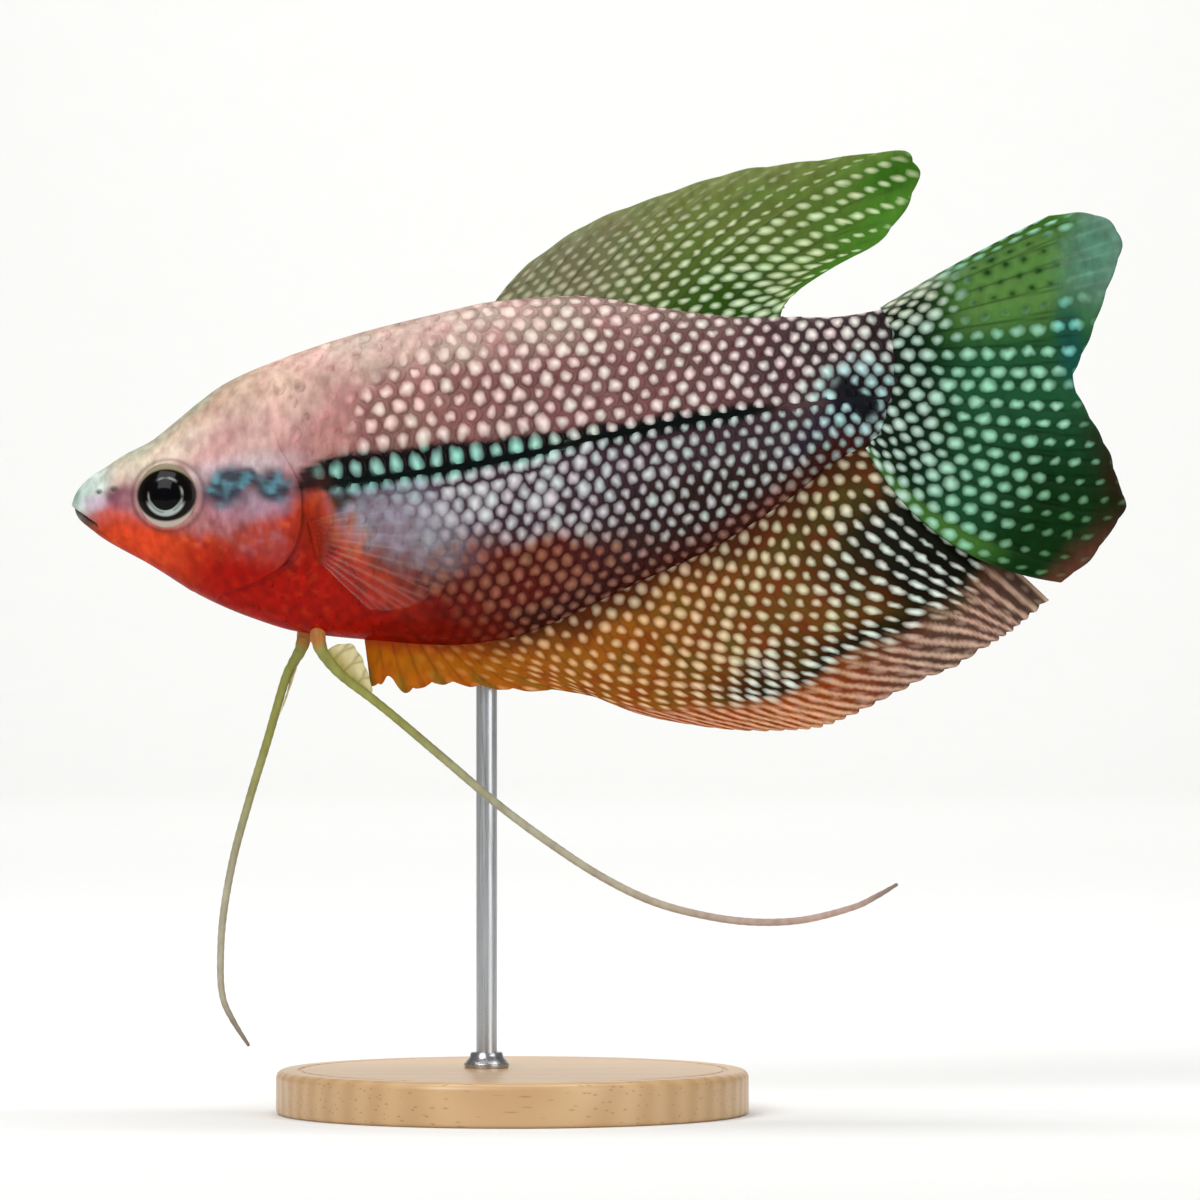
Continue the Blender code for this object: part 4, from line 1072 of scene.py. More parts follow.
def build_scales(side, word):
    """All the scales of one flank as one mesh of closed plates."""
    rng = np.random.default_rng(7 if side < 0 else 11)
    points, marks, spots = zip(*(lay_scales(part, side, rng) for part in (BELOW, ABOVE)))
    points = np.vstack(points)
    per_plate = 2 * SCALE_LONG * SCALE_HIGH
    plate = plate_faces(SCALE_LONG, SCALE_HIGH)
    plate = plate if side > 0 else plate[:, ::-1]
    faces = (plate[None] + per_plate * np.arange(len(points) // per_plate)[:, None, None]).reshape(-1, 4)
    marks = {mark: np.concatenate([part[mark] for part in marks]) for mark in marks[0]}
    print("scales", word, len(points) // per_plate)
    corners = np.vstack(spots)[faces.ravel()]
    return make_piece(f"scales_{word}", points, faces, wet_scale, (), marks, corners)


for side, word in ((-1, "left"), (1, "right")):
    build_scales(side, word)

# %% [markdown]
# ## Fins
#
# A fin is a double skin stretched over rays. Each ray is a jointed rod that forks towards the edge. A sheet
# with its rays raised in its own surface gives that with no loose parts, so each fin is one closed sheet:
# thin in the web, thicker on a ray, pleated a little between rays, and ragged at the edge where the web is
# notched. Rays as separate rods in a thin web would be closer to the animal, but would cross the web's
# faces.

# %% The shape of a ray
RAY_PART = 10
RAY_WIDTH, STREAK_WIDTH = 0.16, 0.28
FORK_AT = 0.5
SINK = 0.5


def bent_ray(root, tip, bow, s):
    """Points at the shares s of rays that bow to their left by a share of their length."""
    step = tip - root
    swing = 4 * (bow[:, None] * s * (1 - s))[..., None]
    left = np.stack([-step[:, 1], step[:, 0]], 1)
    return root[:, None] + step[:, None] * s[..., None] + swing * left[:, None]


def outside(profile, x, gap):
    """Points gap away from a profile of the body, square to it."""
    slope = (profile(x + 0.2) - profile(x - 0.2)) / 0.4
    length = np.hypot(1, slope)
    return np.stack([x - gap * slope / length, profile(x) + gap / length], 1)


def ragged_edge(t, rays, notch, from_ray, seed):
    """How far out the sheet reaches: less between rays by the notch, and a little uneven."""
    depth = notch(t) if callable(notch) else notch
    rng = np.random.default_rng(seed)
    ragged = np.interp(t, np.linspace(0, 1, rays * 3), rng.uniform(0, 1, rays * 3))
    return 1 - depth * ((2 * from_ray) ** 1.6 + 0.4 * ragged)


print("steps from ray to ray", RAY_PART)

# %% One sheet for any fin
def fin_sheet(place, rays, rows, web, ray, root_thick, notch, pleat=0.06, seed=1, sweep=0.0, fork=0.24):
    """The points, faces, facts and bake places of a closed fin sheet.

    place gives the sheet's middle at t, from the first ray to the last, and s, from root to edge. web, ray
    and root_thick are thicknesses in millimetres, and notch is how deep the edge is cut between rays, one
    number or a function of t. sweep bends the rays' ends back along the edge, and fork is how far a ray
    parts, in gaps between rays.
    """
    columns = (rays - 1) * RAY_PART + 1
    t = np.linspace(0, 1, columns)
    swept = sweep * ease(0.1, 0.45, t) * (1 - ease(0.9, 1.0, t))
    from_ray = (t - swept) * (rays - 1)
    reach = ragged_edge(t, rays, notch, np.abs(from_ray - np.round(from_ray)), seed)
    s = (np.linspace(0, 1, rows)[None, :] ** 1.06) * reach[:, None]
    middle = place(t, s)
    along, across = np.gradient(middle, axis=1), np.gradient(middle, axis=0)
    normal = np.cross(across, along)
    normal /= np.maximum(np.linalg.norm(normal, axis=2, keepdims=True), 1e-9)
    steps = np.linalg.norm(np.diff(middle, axis=1), axis=2)
    out = np.concatenate([np.zeros((columns, 1)), np.cumsum(steps, axis=1)], axis=1)
    gap = np.linalg.norm(across, axis=2) * RAY_PART
    number = (t[:, None] - swept[:, None] * s ** 3) * (rays - 1)
    off_ray = number - np.round(number)
    parted = fork * ease(FORK_AT, 1.0, s)
    near = np.minimum(np.abs(off_ray - parted), np.abs(off_ray + parted)) * gap
    ridge = bell(near, RAY_WIDTH)
    thick = web + (ray - web) * ridge * (1 - 0.6 * ease(0.2, 1.0, s))
    thick += (root_thick - thick) * (1 - ease(0.0, 0.16, s)) * 0.8
    thick *= 1 - 0.55 * ease(0.93, 1.0, s / reach[:, None])
    shift = pleat * np.cos(2 * np.pi * number) * ease(0.05, 0.4, s)
    middle = middle + normal * shift[..., None]
    half = normal * thick[..., None] / 2
    points = np.vstack([(middle + half).reshape(-1, 3), (middle - half).reshape(-1, 3)])
    facts = dict(t=t[:, None] + 0 * s, s=s / reach[:, None], out=out, share=number / (rays - 1),
                 whole=gap * (rays - 1), ridge=ridge, streak=bell(near, STREAK_WIDTH), x=middle[..., 0],
                 z=middle[..., 2])
    faces = plate_faces(columns, rows)
    half_of_map, place_in_it = np.divmod(np.arange(2 * columns * rows), columns * rows)
    i, k = np.divmod(place_in_it, rows)
    spots = np.stack([(i / (columns - 1) + half_of_map) / 2 * 0.98 + 0.005, k / (rows - 1) * 0.98 + 0.01], 1)
    return points, faces, facts, spots[faces.ravel()]


# %% A fin's pearls and its mesh
FULLEST = 0.23


def both_faces(values):
    """One row for each point of the sheet's first face, and the same again for its second."""
    return np.concatenate([values.reshape(-1, *values.shape[2:])] * 2)


def make_fin(name, sheet, colours, finish, replaced, pair_counts=((0, 0), (1, 10)), step_mm=2.0):
    """A fin with its colours and pearls. pair_counts gives the pairs of rows up to a share of the fin."""
    points, faces, facts, corners = sheet
    pairs = smooth_curve(pair_counts)
    share = np.clip(facts["share"], 0.001, 0.999)
    pair_mm = facts["whole"] / ((pairs(share + 0.001) - pairs(share - 0.001)) / 0.002)
    ground, pearl, strength, half_long, half_wide, more = colours(facts | dict(fullest=FULLEST * pair_mm))
    lie = np.stack([facts["out"] / step_mm, pairs(facts["share"]), 0 * share], -1)
    reach = np.stack([step_mm / half_long, pair_mm / half_wide, 0 * pair_mm], -1)
    marks = dict(ground=ground, pearl=pearl, lie=lie, reach=reach, strength=strength) | more
    marks = {mark: both_faces(values) for mark, values in marks.items()}
    return make_piece(name, points, faces, finish, replaced, marks, corners)


# The web is satin and thin, so its ring of pigment is faint and its grain fine.
fin_skin = skin_finish("pigmented_fin_web", net="#0C1206", net_share=0.3, waver=0.22, rough=0.45, coat=0.2,
                       grain_mm=0.22, pearl_soft=0.68, bump=0.18, speck=0.2, mottle_by=0.05, tint_by=0.08)

# %% [markdown]
# ### The dorsal fin
#
# It is grey olive in front and vivid green behind, with rows of cream pearls that follow the rays. Its last
# rays are drawn out into a point. The outline is a smooth path through the ray tips, so a longer ray is one
# number away.

# %% Dorsal fin
DORSAL_RAYS, DORSAL_ROOT = 14, (-12.3, 20.6)
DORSAL_TIPS = [
    (-8.0, 97.2), (-3.6, 100.4), (0.8, 102.7), (6.0, 104.6), (11.4, 106.5), (16.8, 108.0), (22.3, 108.7),
    (28.6, 109.5), (35.0, 110.05), (36.7, 107.3), (35.0, 103.2), (31.9, 99.5), (26.6, 96.6), (21.7, 93.4),
]
DORSAL_NOTCH = 0.014
DORSAL_PAIRS, DORSAL_STEP = [(0, 0), (0.5, 6.7), (1, 11.2)], 1.75


def dorsal_place(t, s):
    """Points of the fin's middle, which waves a little from side to side."""
    root = outside(back, DORSAL_ROOT[0] + (DORSAL_ROOT[1] - DORSAL_ROOT[0]) * t, -SINK)
    side_view = bent_ray(root, smooth_path(DORSAL_TIPS, t), 0.03 + 0.05 * t, s)
    y = 1.1 * s * s * np.sin(2.6 * t + 0.4)[:, None]
    return np.stack([side_view[..., 0], y, side_view[..., 1]], -1)


def dorsal_colours(f):
    """Grey olive to green, with cream pearls that fade where the front of the fin is clear."""
    x, z, s, t = f["x"], f["z"], f["s"], f["t"]
    ground = wash(flat_colour(x, "#747456"), "#68783A", ease(-5, 12, x))
    ground = glaze(ground, [
        ("#406820", ease(0.35, 1.0, t) * 0.8),
        ("#2A4E10", (1 - ease(0.1, 0.5, s)) * ease(0.3, 0.8, t)),
        ("#468826", 0.7 * ease(0.5, 0.9, s) * ease(0.45, 0.8, t)),
        ("#2A6010", 0.8 * patch(x, z, (34.5, 107.5), (4.5, 1.8), 20, 0.6)),
        ("#7C8A5C", 0.5 * ease(0.7, 1.0, s) * (1 - ease(0.3, 0.6, t))),
        ("#2F3A1C", 0.45 * f["ridge"] * (1 - 0.6 * ease(0.6, 1, s))),
        ("#A2A47C", 0.5 * f["ridge"] * ease(0.35, 0.7, s) * (1 - ease(0.3, 0.7, t))),
    ])
    pearl = wash(flat_colour(x, "#C4C5A4"), "#CFE2AE", ease(0.3, 0.8, t))
    pearl = wash(pearl, "#D2EAC4", 0.7 * (1 - ease(0.1, 0.45, s)) * ease(0.4, 0.7, t))
    clearer = ease(0.45, 0.8, s) * (1 - ease(0.35, 0.75, t))
    strength = (0.6 + 0.4 * ease(0.1, 0.5, t)) * (1 - 0.6 * ease(0.86, 1.0, s)) * (1 - 0.75 * clearer)
    strength = strength * (1 - ease(0.975, 1.0, t))
    half = 0.52 + 0.10 * ease(0.3, 0.7, t) * (1 - ease(0.5, 0.9, s))
    return ground, pearl, strength, half, np.minimum(0.92 * half, f["fullest"]), {}


dorsal = fin_sheet(dorsal_place, DORSAL_RAYS, 64, web=0.12, ray=0.36, root_thick=0.9,
                   notch=DORSAL_NOTCH, seed=3)
make_fin("dorsal_fin_web", dorsal, dorsal_colours, fin_skin, ("dorsal_fin",), DORSAL_PAIRS,
         DORSAL_STEP)

# %% [markdown]
# ### The anal fin
#
# The longest fin of all, from the breast to the tail: orange brown in front, then olive, then black with
# white dashes in its rear corner, and a rosy, streaked edge where the rays run out free. The flank's
# markings run on over its root, so its root is darkened and its first pearls are dull, which hides where
# the fin begins.

# %% The anal fin's shape
ANAL_RAYS, ANAL_ROOT = 38, (-27.0, 30.2)
ANAL_TIPS = [
    (-26.2, 48.6), (-22.6, 47.8), (-18.5, 48.8), (-13.8, 48.5), (-8.7, 48.1), (-3.7, 48.1), (1.0, 47.1),
    (5.7, 45.3), (10.2, 44.4), (14.6, 43.8), (18.6, 43.6), (21.8, 43.7), (24.6, 43.9), (27.2, 44.6),
    (29.7, 45.7), (33.1, 47.4), (36.8, 49.3), (40.4, 50.7), (44.0, 52.9), (47.6, 55.2), (51.5, 58.6),
]
ANAL_DIP, ANAL_DIP_AT = 0.3, 0.033
ANAL_NOTCH, ANAL_FRONT_NOTCH = 0.015, 0.07
ANAL_PAIRS, ANAL_STEP = [(0, 0), (0.6, 12.6), (1, 22.8)], 2.2


def anal_place(t, s):
    """Points of the fin's middle. Its rear half swings aside to let the tail fin pass."""
    root = outside(belly, ANAL_ROOT[0] + (ANAL_ROOT[1] - ANAL_ROOT[0]) * t, SINK)
    bow = -0.11 * ease(0.1, 0.4, t) * (1 - ease(0.8, 1.0, t)) + 0.02 * ease(0.94, 1.0, t)
    reach = s * (1 - ANAL_DIP * bell(t - ANAL_DIP_AT, 0.012))[:, None]
    side_view = bent_ray(root, smooth_path(ANAL_TIPS, t), bow, reach)
    y = 2.4 * ease(0.45, 1.0, t)[:, None] * ease(0.0, 0.6, s) + 0.35 * s * np.sin(9 * t)[:, None]
    return np.stack([side_view[..., 0], y, side_view[..., 1]], -1)


def anal_notch(t):
    """The free tips of the first spines stand out of the web further than the soft rays behind them."""
    return ANAL_NOTCH + ANAL_FRONT_NOTCH * (1 - ease(0.1, 0.35, t))


# %% The anal fin's colours
def anal_colours(f):
    """Orange, olive and black, with a streaked rosy edge."""
    x, z, s, t = f["x"], f["z"], f["s"], f["t"]
    wave = ripple(x, z, 3.0, 0.4)
    ground = wash(flat_colour(x, "#A05A08"), "#9A5A16", ease(-18, -2, x))
    ground = wash(ground, "#6E4316", ease(-2, 18, x))
    ground = wash(ground, "#4A3C14", ease(10, 24, x) * ease(58, 68, z))
    cloud = ripple(x, z, 2.2, 1.3) + 0.7 * ripple(x + z, z - 0.4 * x, 1.1, 0.2)
    ground = glaze(ground, [
        ("#803010", 0.45 * ease(0.0, 1.1, cloud) * ease(-16, -4, x)),
        ("#56501A", 0.5 * ease(0.0, 1.1, -cloud) * ease(-8, 6, x)),
        ("#A0340A", 0.8 * (1 - ease(0.05, 0.4, s)) * (1 - ease(-22, -4, x))),
        ("#B05A12", 0.6 * ease(0.55, 0.9, s) * (1 - ease(8, 22, x))),
    ])
    every_other_ray = ease(0.4, 0.9, np.cos(math.pi * ANAL_RAYS * f["share"]))
    ground = wash(ground, "#6A6A1E", 0.5 * every_other_ray * ease(0.6, 0.8, s) * (1 - ease(0, 16, x)))
    edge = ease(0.70, 0.84, s + 0.03 * wave) * ease(-4, 8, x)
    dark = ease(0.46, 0.74, s + 0.05 * wave) * ease(0.48, 0.62, t)
    dark = np.maximum(dark, ease(0.78, 0.93, t + 0.02 * wave) * ease(0.1, 0.36, s)) * (1 - edge)
    ground = glaze(ground, [
        ("#080E08", 0.97 * dark),
        ("#A04814", 0.9 * edge * (1 - ease(22, 36, x))),
        ("#4E3A34", 0.9 * edge * ease(22, 36, x)),
        ("#7E3208", 0.8 * edge * (1 - f["streak"]) * (1 - ease(24, 40, x))),
        ("#E4B488", 0.85 * edge * f["streak"]),
        ("#B8A29A", 0.6 * edge * f["streak"] * ease(24, 38, x)),
        ("#5A2A10", 0.4 * f["ridge"] * (1 - edge) * (1 - dark)),
    ])
    from_root = f["out"] + 0.8 * wave
    ground = wash(ground, "#431808", 0.85 * (1 - ease(0.8, 4.6, from_root)) * ease(-22, -6, x))
    pearl = wash(flat_colour(x, "#C88C46"), "#F0C896", ease(-20, 4, x))
    pearl = glaze(pearl, [
        ("#EEE2BA", ease(4, 22, x)),
        ("#B4AA94", 0.7 * (1 - ease(0.8, 4.0, from_root)) * ease(-14, 0, x)),
        ("#E2EEE2", dark),
        ("#DDB8A4", edge),
    ])
    strength = ease(-26, -4, x + wave) * (1 - 0.7 * edge) * (0.85 + 0.15 * dark)
    return ground, pearl, strength, 0.57 + 0.27 * dark, np.minimum(0.51 - 0.09 * dark, f["fullest"]), {}


anal = fin_sheet(anal_place, ANAL_RAYS, 60, web=0.12, ray=0.36, root_thick=0.8, notch=anal_notch, seed=5,
                 sweep=0.10, fork=0.07)
make_fin("anal_fin_web", anal, anal_colours, fin_skin, ("anal_fin",), ANAL_PAIRS, ANAL_STEP)

# %% [markdown]
# ### The tail fin
#
# Dark green with mint pearls in the rows between rays, a lighter green upper lobe with black specks in
# place of pearls, and a clearer blue grey corner above. Its lower lobe passes on the near side of the anal
# fin, and its rays spread from the rounded end of the tail stalk.

# %% The tail fin's shape
CAUDAL_RAYS = 17
CAUDAL_TIPS = [
    (51.4, 102.6), (55.1, 103.0), (58.3, 102.1), (59.8, 99.4), (58.8, 96.0), (57.4, 92.2), (56.0, 88.4),
    (54.6, 85.4), (54.1, 83.6), (55.3, 80.9), (56.9, 78.0), (58.3, 75.2), (59.2, 72.2), (60.1, 69.3),
    (58.3, 66.4), (55.9, 63.1), (52.6, 60.6),
]
CAUDAL_NOTCH = 0.007
CAUDAL_PAIRS, CAUDAL_STEP = [(0, 0), (0.35, 3.6), (0.5, 4.9), (1, 10.2)], 2.3


def caudal_place(t, s):
    """Points of the fin's middle, from the tail stalk's end. Its lower half swings to the near side."""
    angle = 86 - 172 * t
    x_root = tail_edge(angle)
    root = np.stack([x_root - SINK, flank(x_root, angle)[:, 2]], 1)
    side_view = bent_ray(root, smooth_path(CAUDAL_TIPS, t), 0.012 - 0.14 * t * t, s)
    y = (0.9 - 3.1 * ease(0.1, 0.95, t))[:, None] * s ** 1.2
    return np.stack([side_view[..., 0], y, side_view[..., 1]], -1)


# %% The tail fin's colours
def caudal_colours(f):
    """Dark green with mint pearls, and a lighter upper lobe where dark specks take the pearls' place."""
    x, z, s, t = f["x"], f["z"], f["s"], f["t"]
    wave = ripple(x, z, 3.0, 0.9)
    ground = wash(flat_colour(x, "#111A13"), "#0A2410", ease(0.0, 0.12, s))
    ground = glaze(ground, [
        ("#205434", ease(0.15, 0.5, s)),
        ("#3E7026", ease(0.45, 0.15, t) * ease(0.12, 0.4, s)),
        ("#0E3012", ease(0.5, 0.8, t) * ease(0.3, 0.7, s)),
    ])
    upper = ease(0.02, 0.10, t) * (1 - ease(0.26, 0.38, t)) * ease(0.22, 0.42, s) * (1 - ease(0.72, 0.9, s))
    ground = wash(ground, "#5C8A44", 0.95 * upper)
    ground = wash(ground, "#8FA98C", 0.7 * (1 - ease(0.04, 0.14, t)) * (1 - ease(0.3, 0.5, s)))
    tip = patch(x, z, (57.0, 98.6), (6.4, 3.9), 70, 0.6)
    ground = wash(ground, "#4F7D66", 0.95 * tip)
    ground = wash(ground, "#6A8C7C", 0.5 * tip * ease(0.9, 1.0, s))
    fork = patch(x, z, (53.8, 88.0), (1.6, 5.0), 10, 0.6)
    ground = wash(ground, "#0F4A4C", 0.6 * fork)
    edge = ease(0.86, 0.99, s + 0.02 * wave)
    ground = glaze(ground, [
        ("#241E10", edge * ease(0.5, 0.75, t)),
        ("#5E3A2C", 0.8 * edge * ease(0.8, 0.95, t)),
        ("#46762E", 0.85 * ease(0.925, 0.965, t) * (1 - ease(0.55, 0.8, s))),
        ("#06140A", 0.5 * f["ridge"] * (1 - tip) * (1 - edge)),
        ("#84A494", 0.3 * f["ridge"] * tip),
    ])
    pearl = wash(flat_colour(x, "#C0DECE"), "#9CD6B6", ease(0.1, 0.45, s))
    pearl = glaze(pearl, [
        ("#D2D6BC", (1 - ease(0.1, 0.35, t)) * (1 - ease(0.15, 0.4, s))),
        ("#12340E", upper),
        ("#6FC9C4", 0.8 * fork),
        ("#5E8E60", ease(0.55, 0.9, t) * ease(0.4, 0.85, s)),
    ])
    faint = (1 - 0.7 * edge * (1 - fork)) * (1 - 0.2 * ease(0.6, 0.9, t) * ease(0.5, 0.9, s))
    small = 0.14 * (1 - ease(0.0, 0.16, s)) + 0.24 * ease(0.45, 1.0, s) * ease(0.4, 0.7, t)
    half = (0.74 - small) * (1 - 0.2 * upper)
    wide = np.minimum(0.80 * half, f["fullest"] * (1 + 0.5 * upper))
    return ground, pearl, (1 - 0.9 * tip) * faint, half, wide, {}


caudal = fin_sheet(caudal_place, CAUDAL_RAYS, 72, web=0.12, ray=0.40, root_thick=1.1,
                   notch=CAUDAL_NOTCH, seed=8)
make_fin("tail_fin_web", caudal, caudal_colours, fin_skin, ("caudal_fin",), CAUDAL_PAIRS,
         CAUDAL_STEP)

# %% [markdown]
# ### The pectoral fins
#
# These are clear: in life they show only as a haze of fine rays in front of the flank. The web is mostly
# transparent by its alpha, and the rays are more solid. Glass that bends light would do too, but it would
# cost far more time for a sheet this thin.

# %% The pectoral fins' shape
PECTORAL_RAYS = 11
PECTORAL_ROOT, PECTORAL_ROOT_HEIGHT = (-32.6, 65.4), 4.2
PECTORAL_ANGLES = (16.0, -44.0)
pectoral_length = smooth_curve([(0.0, 13.5), (0.2, 18.5), (0.4, 19.0), (0.7, 15.0), (1.0, 9.0)])
PECTORAL_FLARE, PECTORAL_SLANT = 0.36, 0.93
PECTORAL_NOTCH = 0.02


def pectoral_place(side):
    """The place function of one pectoral fin, which spreads out and back from its root on the flank."""
    def place(t, s):
        x_root = PECTORAL_ROOT[0] - 0.5 + t
        z_root = PECTORAL_ROOT[1] + PECTORAL_ROOT_HEIGHT * (0.5 - t)
        angle = np.radians(PECTORAL_ANGLES[0] + (PECTORAL_ANGLES[1] - PECTORAL_ANGLES[0]) * t)[:, None]
        reach = pectoral_length(t)[:, None] * s
        out = PECTORAL_FLARE * reach + 0.8 * (1 - np.exp(-reach / 0.7))
        y = half_width_at(x_root, z_root)[:, None] - 0.3 + out
        x = x_root[:, None] + PECTORAL_SLANT * reach * np.cos(angle)
        return np.stack([x, side * y, z_root[:, None] + PECTORAL_SLANT * reach * np.sin(angle)], -1)

    return place


# %% Pectoral fins
def pectoral_colours(f):
    """Pale rays that turn red and solid at the root, with an opacity for each point."""
    x, s = f["x"], f["s"]
    ground = wash(flat_colour(x, "#CFC4B8"), "#A02A14", 1 - ease(0.06, 0.26, s))
    opacity = 0.014 + 0.08 * f["ridge"] * (1 - 0.6 * s) + 0.8 * (1 - ease(0.0, 0.14, s))
    even = 1 + 0 * s
    return ground, flat_colour(x, "#E4DED6"), 0 * s, even, even, dict(opacity=np.clip(opacity, 0, 1))


clear_fin = skin_finish("clear_fin_web", net_share=0.0, rough=0.3, coat=0.3, grain_mm=0.2, clear=True,
                        speck=0.1, mottle_by=0.05)
for side, word in ((-1, "left"), (1, "right")):
    sheet = fin_sheet(pectoral_place(side), PECTORAL_RAYS, 40, web=0.08, ray=0.24, root_thick=0.6,
                      notch=PECTORAL_NOTCH, pleat=0.03, seed=12)
    make_fin(f"pectoral_web_{word}", sheet, pectoral_colours, clear_fin,
             (f"pectoral_fin_{word}",))

# %% [markdown]
# ## The feelers
#
# Each pelvic fin is one very long ray that the fish feels its way with. It is a soft, faintly jointed
# thread, olive at the root and rosy grey at the tip. A tube that changes radius along a smooth path is the
# plain way to make it. A curve with a bevel would do the same, but a mesh keeps the joints' faint
# swellings.

# %% The feelers' routes, with the thickness last
FEELER_NEAR = [
    (-32.2, -1.6, 54.3, 1.9), (-31.6, -1.7, 52.6, 1.5), (-29.6, -2.0, 50.2, 1.25), (-26.0, -2.4, 47.4, 1.1),
    (-22.9, -2.8, 44.9, 1.05), (-17.1, -3.5, 40.0, 1.05), (-11.4, -4.2, 35.2, 1.0), (-5.7, -4.8, 31.0, 1.0),
    (0.0, -5.3, 27.3, 0.95), (5.7, -5.7, 24.5, 0.95), (11.4, -6.0, 22.9, 0.9), (17.1, -6.2, 22.1, 0.9),
    (22.9, -6.3, 22.3, 0.85), (28.6, -6.2, 23.7, 0.75), (31.4, -6.1, 25.0, 0.65), (33.8, -6.0, 26.4, 0.4),
]
FEELER_FAR = [
    (-33.8, 1.6, 54.5, 1.9), (-34.3, 1.7, 52.9, 1.5), (-35.2, 1.9, 51.3, 1.25), (-36.1, 2.1, 49.4, 1.1),
    (-38.1, 2.7, 42.6, 1.05), (-40.2, 3.3, 35.8, 1.0), (-42.1, 3.9, 28.9, 0.95), (-43.3, 4.4, 22.1, 0.9),
    (-43.6, 4.6, 16.3, 0.85), (-43.3, 4.6, 12.9, 0.8), (-42.2, 4.5, 10.4, 0.7), (-40.3, 4.4, 7.4, 0.4),
]
print("points of the routes", len(FEELER_NEAR), len(FEELER_FAR))

# %% A tube with a changing radius
def end_faces(rings, sides):
    """The two faces that close a stack of rings."""
    return [list(range(sides))[::-1], list(range((rings - 1) * sides, rings * sides))]


def tube(path, radii, sides):
    """The points and faces of a closed round tube along a path."""
    ahead = np.gradient(path, axis=0)
    ahead /= np.linalg.norm(ahead, axis=1, keepdims=True)
    across = np.cross(ahead, [0.0, 1.0, 0.0])
    across /= np.linalg.norm(across, axis=1, keepdims=True)
    up = np.cross(ahead, across)
    turn = 2 * np.pi * np.arange(sides) / sides
    ring = np.cos(turn)[None, :, None] * across[:, None] + np.sin(turn)[None, :, None] * up[:, None]
    points = (path[:, None] + ring * radii[:, None, None]).reshape(-1, 3)
    return points, grid_faces(len(path), sides, wrap=True).tolist() + end_faces(len(path), sides)


# %% Both feelers
FEELER_STEPS, FEELER_ROUND = 260, 16
FEELER_JOINT = 1.1
FEELER_SLIM = 0.94
ROOT_IN_BODY = 2.6


def build_feeler(route, word):
    """One feeler from root to tip, with faint swellings at its joints."""
    path = smooth_path(route, np.linspace(0, 1, FEELER_STEPS))
    step = np.linalg.norm(np.diff(path[:, :3], axis=0), axis=1)
    out = np.concatenate([[0], np.cumsum(step)])
    radii = path[:, 3] / 2 * FEELER_SLIM * (1 + 0.03 * np.cos(2 * np.pi * out / FEELER_JOINT))
    radii[-1] *= 0.5
    path = np.vstack([path[:1, :3] * [1.0, 0.5, 1.0] + [0.0, 0.0, ROOT_IN_BODY], path[:, :3]])
    radii = np.concatenate([0.7 * radii[:1], radii])
    points, faces = tube(path, radii, FEELER_ROUND)
    out = np.repeat(np.concatenate([[0], out]), FEELER_ROUND)
    ground = wash(flat_colour(out, "#8B8E4C"), "#A8A48E", ease(10, 34, out))
    ground = glaze(ground, [
        ("#B59C90", ease(35, 70, out)),
        ("#6E6258", ease(out.max() - 8, out.max(), out) * 0.7),
        ("#B85A30", 0.6 * (1 - ease(0.3, 1.8, out))),
    ])
    marks = dict(ground=ground, pearl=ground, lie=np.zeros((len(out), 3)), reach=np.ones((len(out), 3)),
                 strength=0 * out)
    parts = [f"pelvic_fin_{word}_{part}" for part in ("root", "middle", "tip")]
    print("feeler", word, "length, mm", round(float(out.max()), 1))
    return make_piece(f"feeler_{word}", points, faces, thread_skin, parts, marks)


# Soft skin with no pearls: a satin sheen and a fine grain that keep it from looking like wire.
thread_skin = skin_finish("soft_thread_skin", net_share=0.0, rough=0.45, coat=0.3, grain_mm=0.3, bump=0.25,
                          speck=0.15, mottle_by=0.07)
build_feeler(FEELER_NEAR, "left")
build_feeler(FEELER_FAR, "right")

# %% [markdown]
# ### The webs behind the feelers' roots
#
# Short rays with a clear web stand behind each feeler's root, like a small fan. The fins' own sheet makes
# them, rooted along the first stretch of the feeler, so they follow it if its route is changed.

# %% The small webs behind the feelers' roots
PELVIC_WEB_ROOT = (0.07, 0.2)
PELVIC_WEB_RAYS, PELVIC_WEB_NOTCH = 5, 0.05
PELVIC_WEB_NEAR = [(-29.9, 53.6), (-28.2, 53.6), (-27.1, 52.1), (-26.4, 50.3), (-25.9, 48.4)]
PELVIC_WEB_FAR = [(-34.6, 51.8), (-35.1, 50.2), (-35.6, 48.6), (-36.2, 46.9), (-36.9, 45.0)]


def web_place(route, tips):
    """The place function of one small web, from the feeler's side to the tips of its rays."""
    def place(t, s):
        low, high = PELVIC_WEB_ROOT
        root = smooth_path(route, low + (high - low) * t)
        side_view = bent_ray(root[:, [0, 2]], smooth_path(tips, t), 0.05 + 0 * t, s)
        return np.stack([side_view[..., 0], root[:, 1][:, None] + 0 * s, side_view[..., 1]], -1)

    return place


def web_colours(f):
    """Pale olive, paler towards the edge, with darker rays."""
    s = f["s"]
    ground = wash(flat_colour(s, "#A89A5C"), "#CFC79A", 0.8 * ease(0.2, 0.7, s))
    ground = wash(ground, "#7C7434", 0.6 * f["ridge"])
    return ground, ground, 0 * s, 1 + 0 * s, 1 + 0 * s, {}


for route, tips, word in ((FEELER_NEAR, PELVIC_WEB_NEAR, "left"), (FEELER_FAR, PELVIC_WEB_FAR, "right")):
    sheet = fin_sheet(web_place(route, tips), PELVIC_WEB_RAYS, 24, web=0.12, ray=0.3, root_thick=0.35,
                      notch=PELVIC_WEB_NOTCH, pleat=0.04, seed=4)
    make_fin(f"pelvic_web_{word}", sheet, web_colours, thread_skin, ())
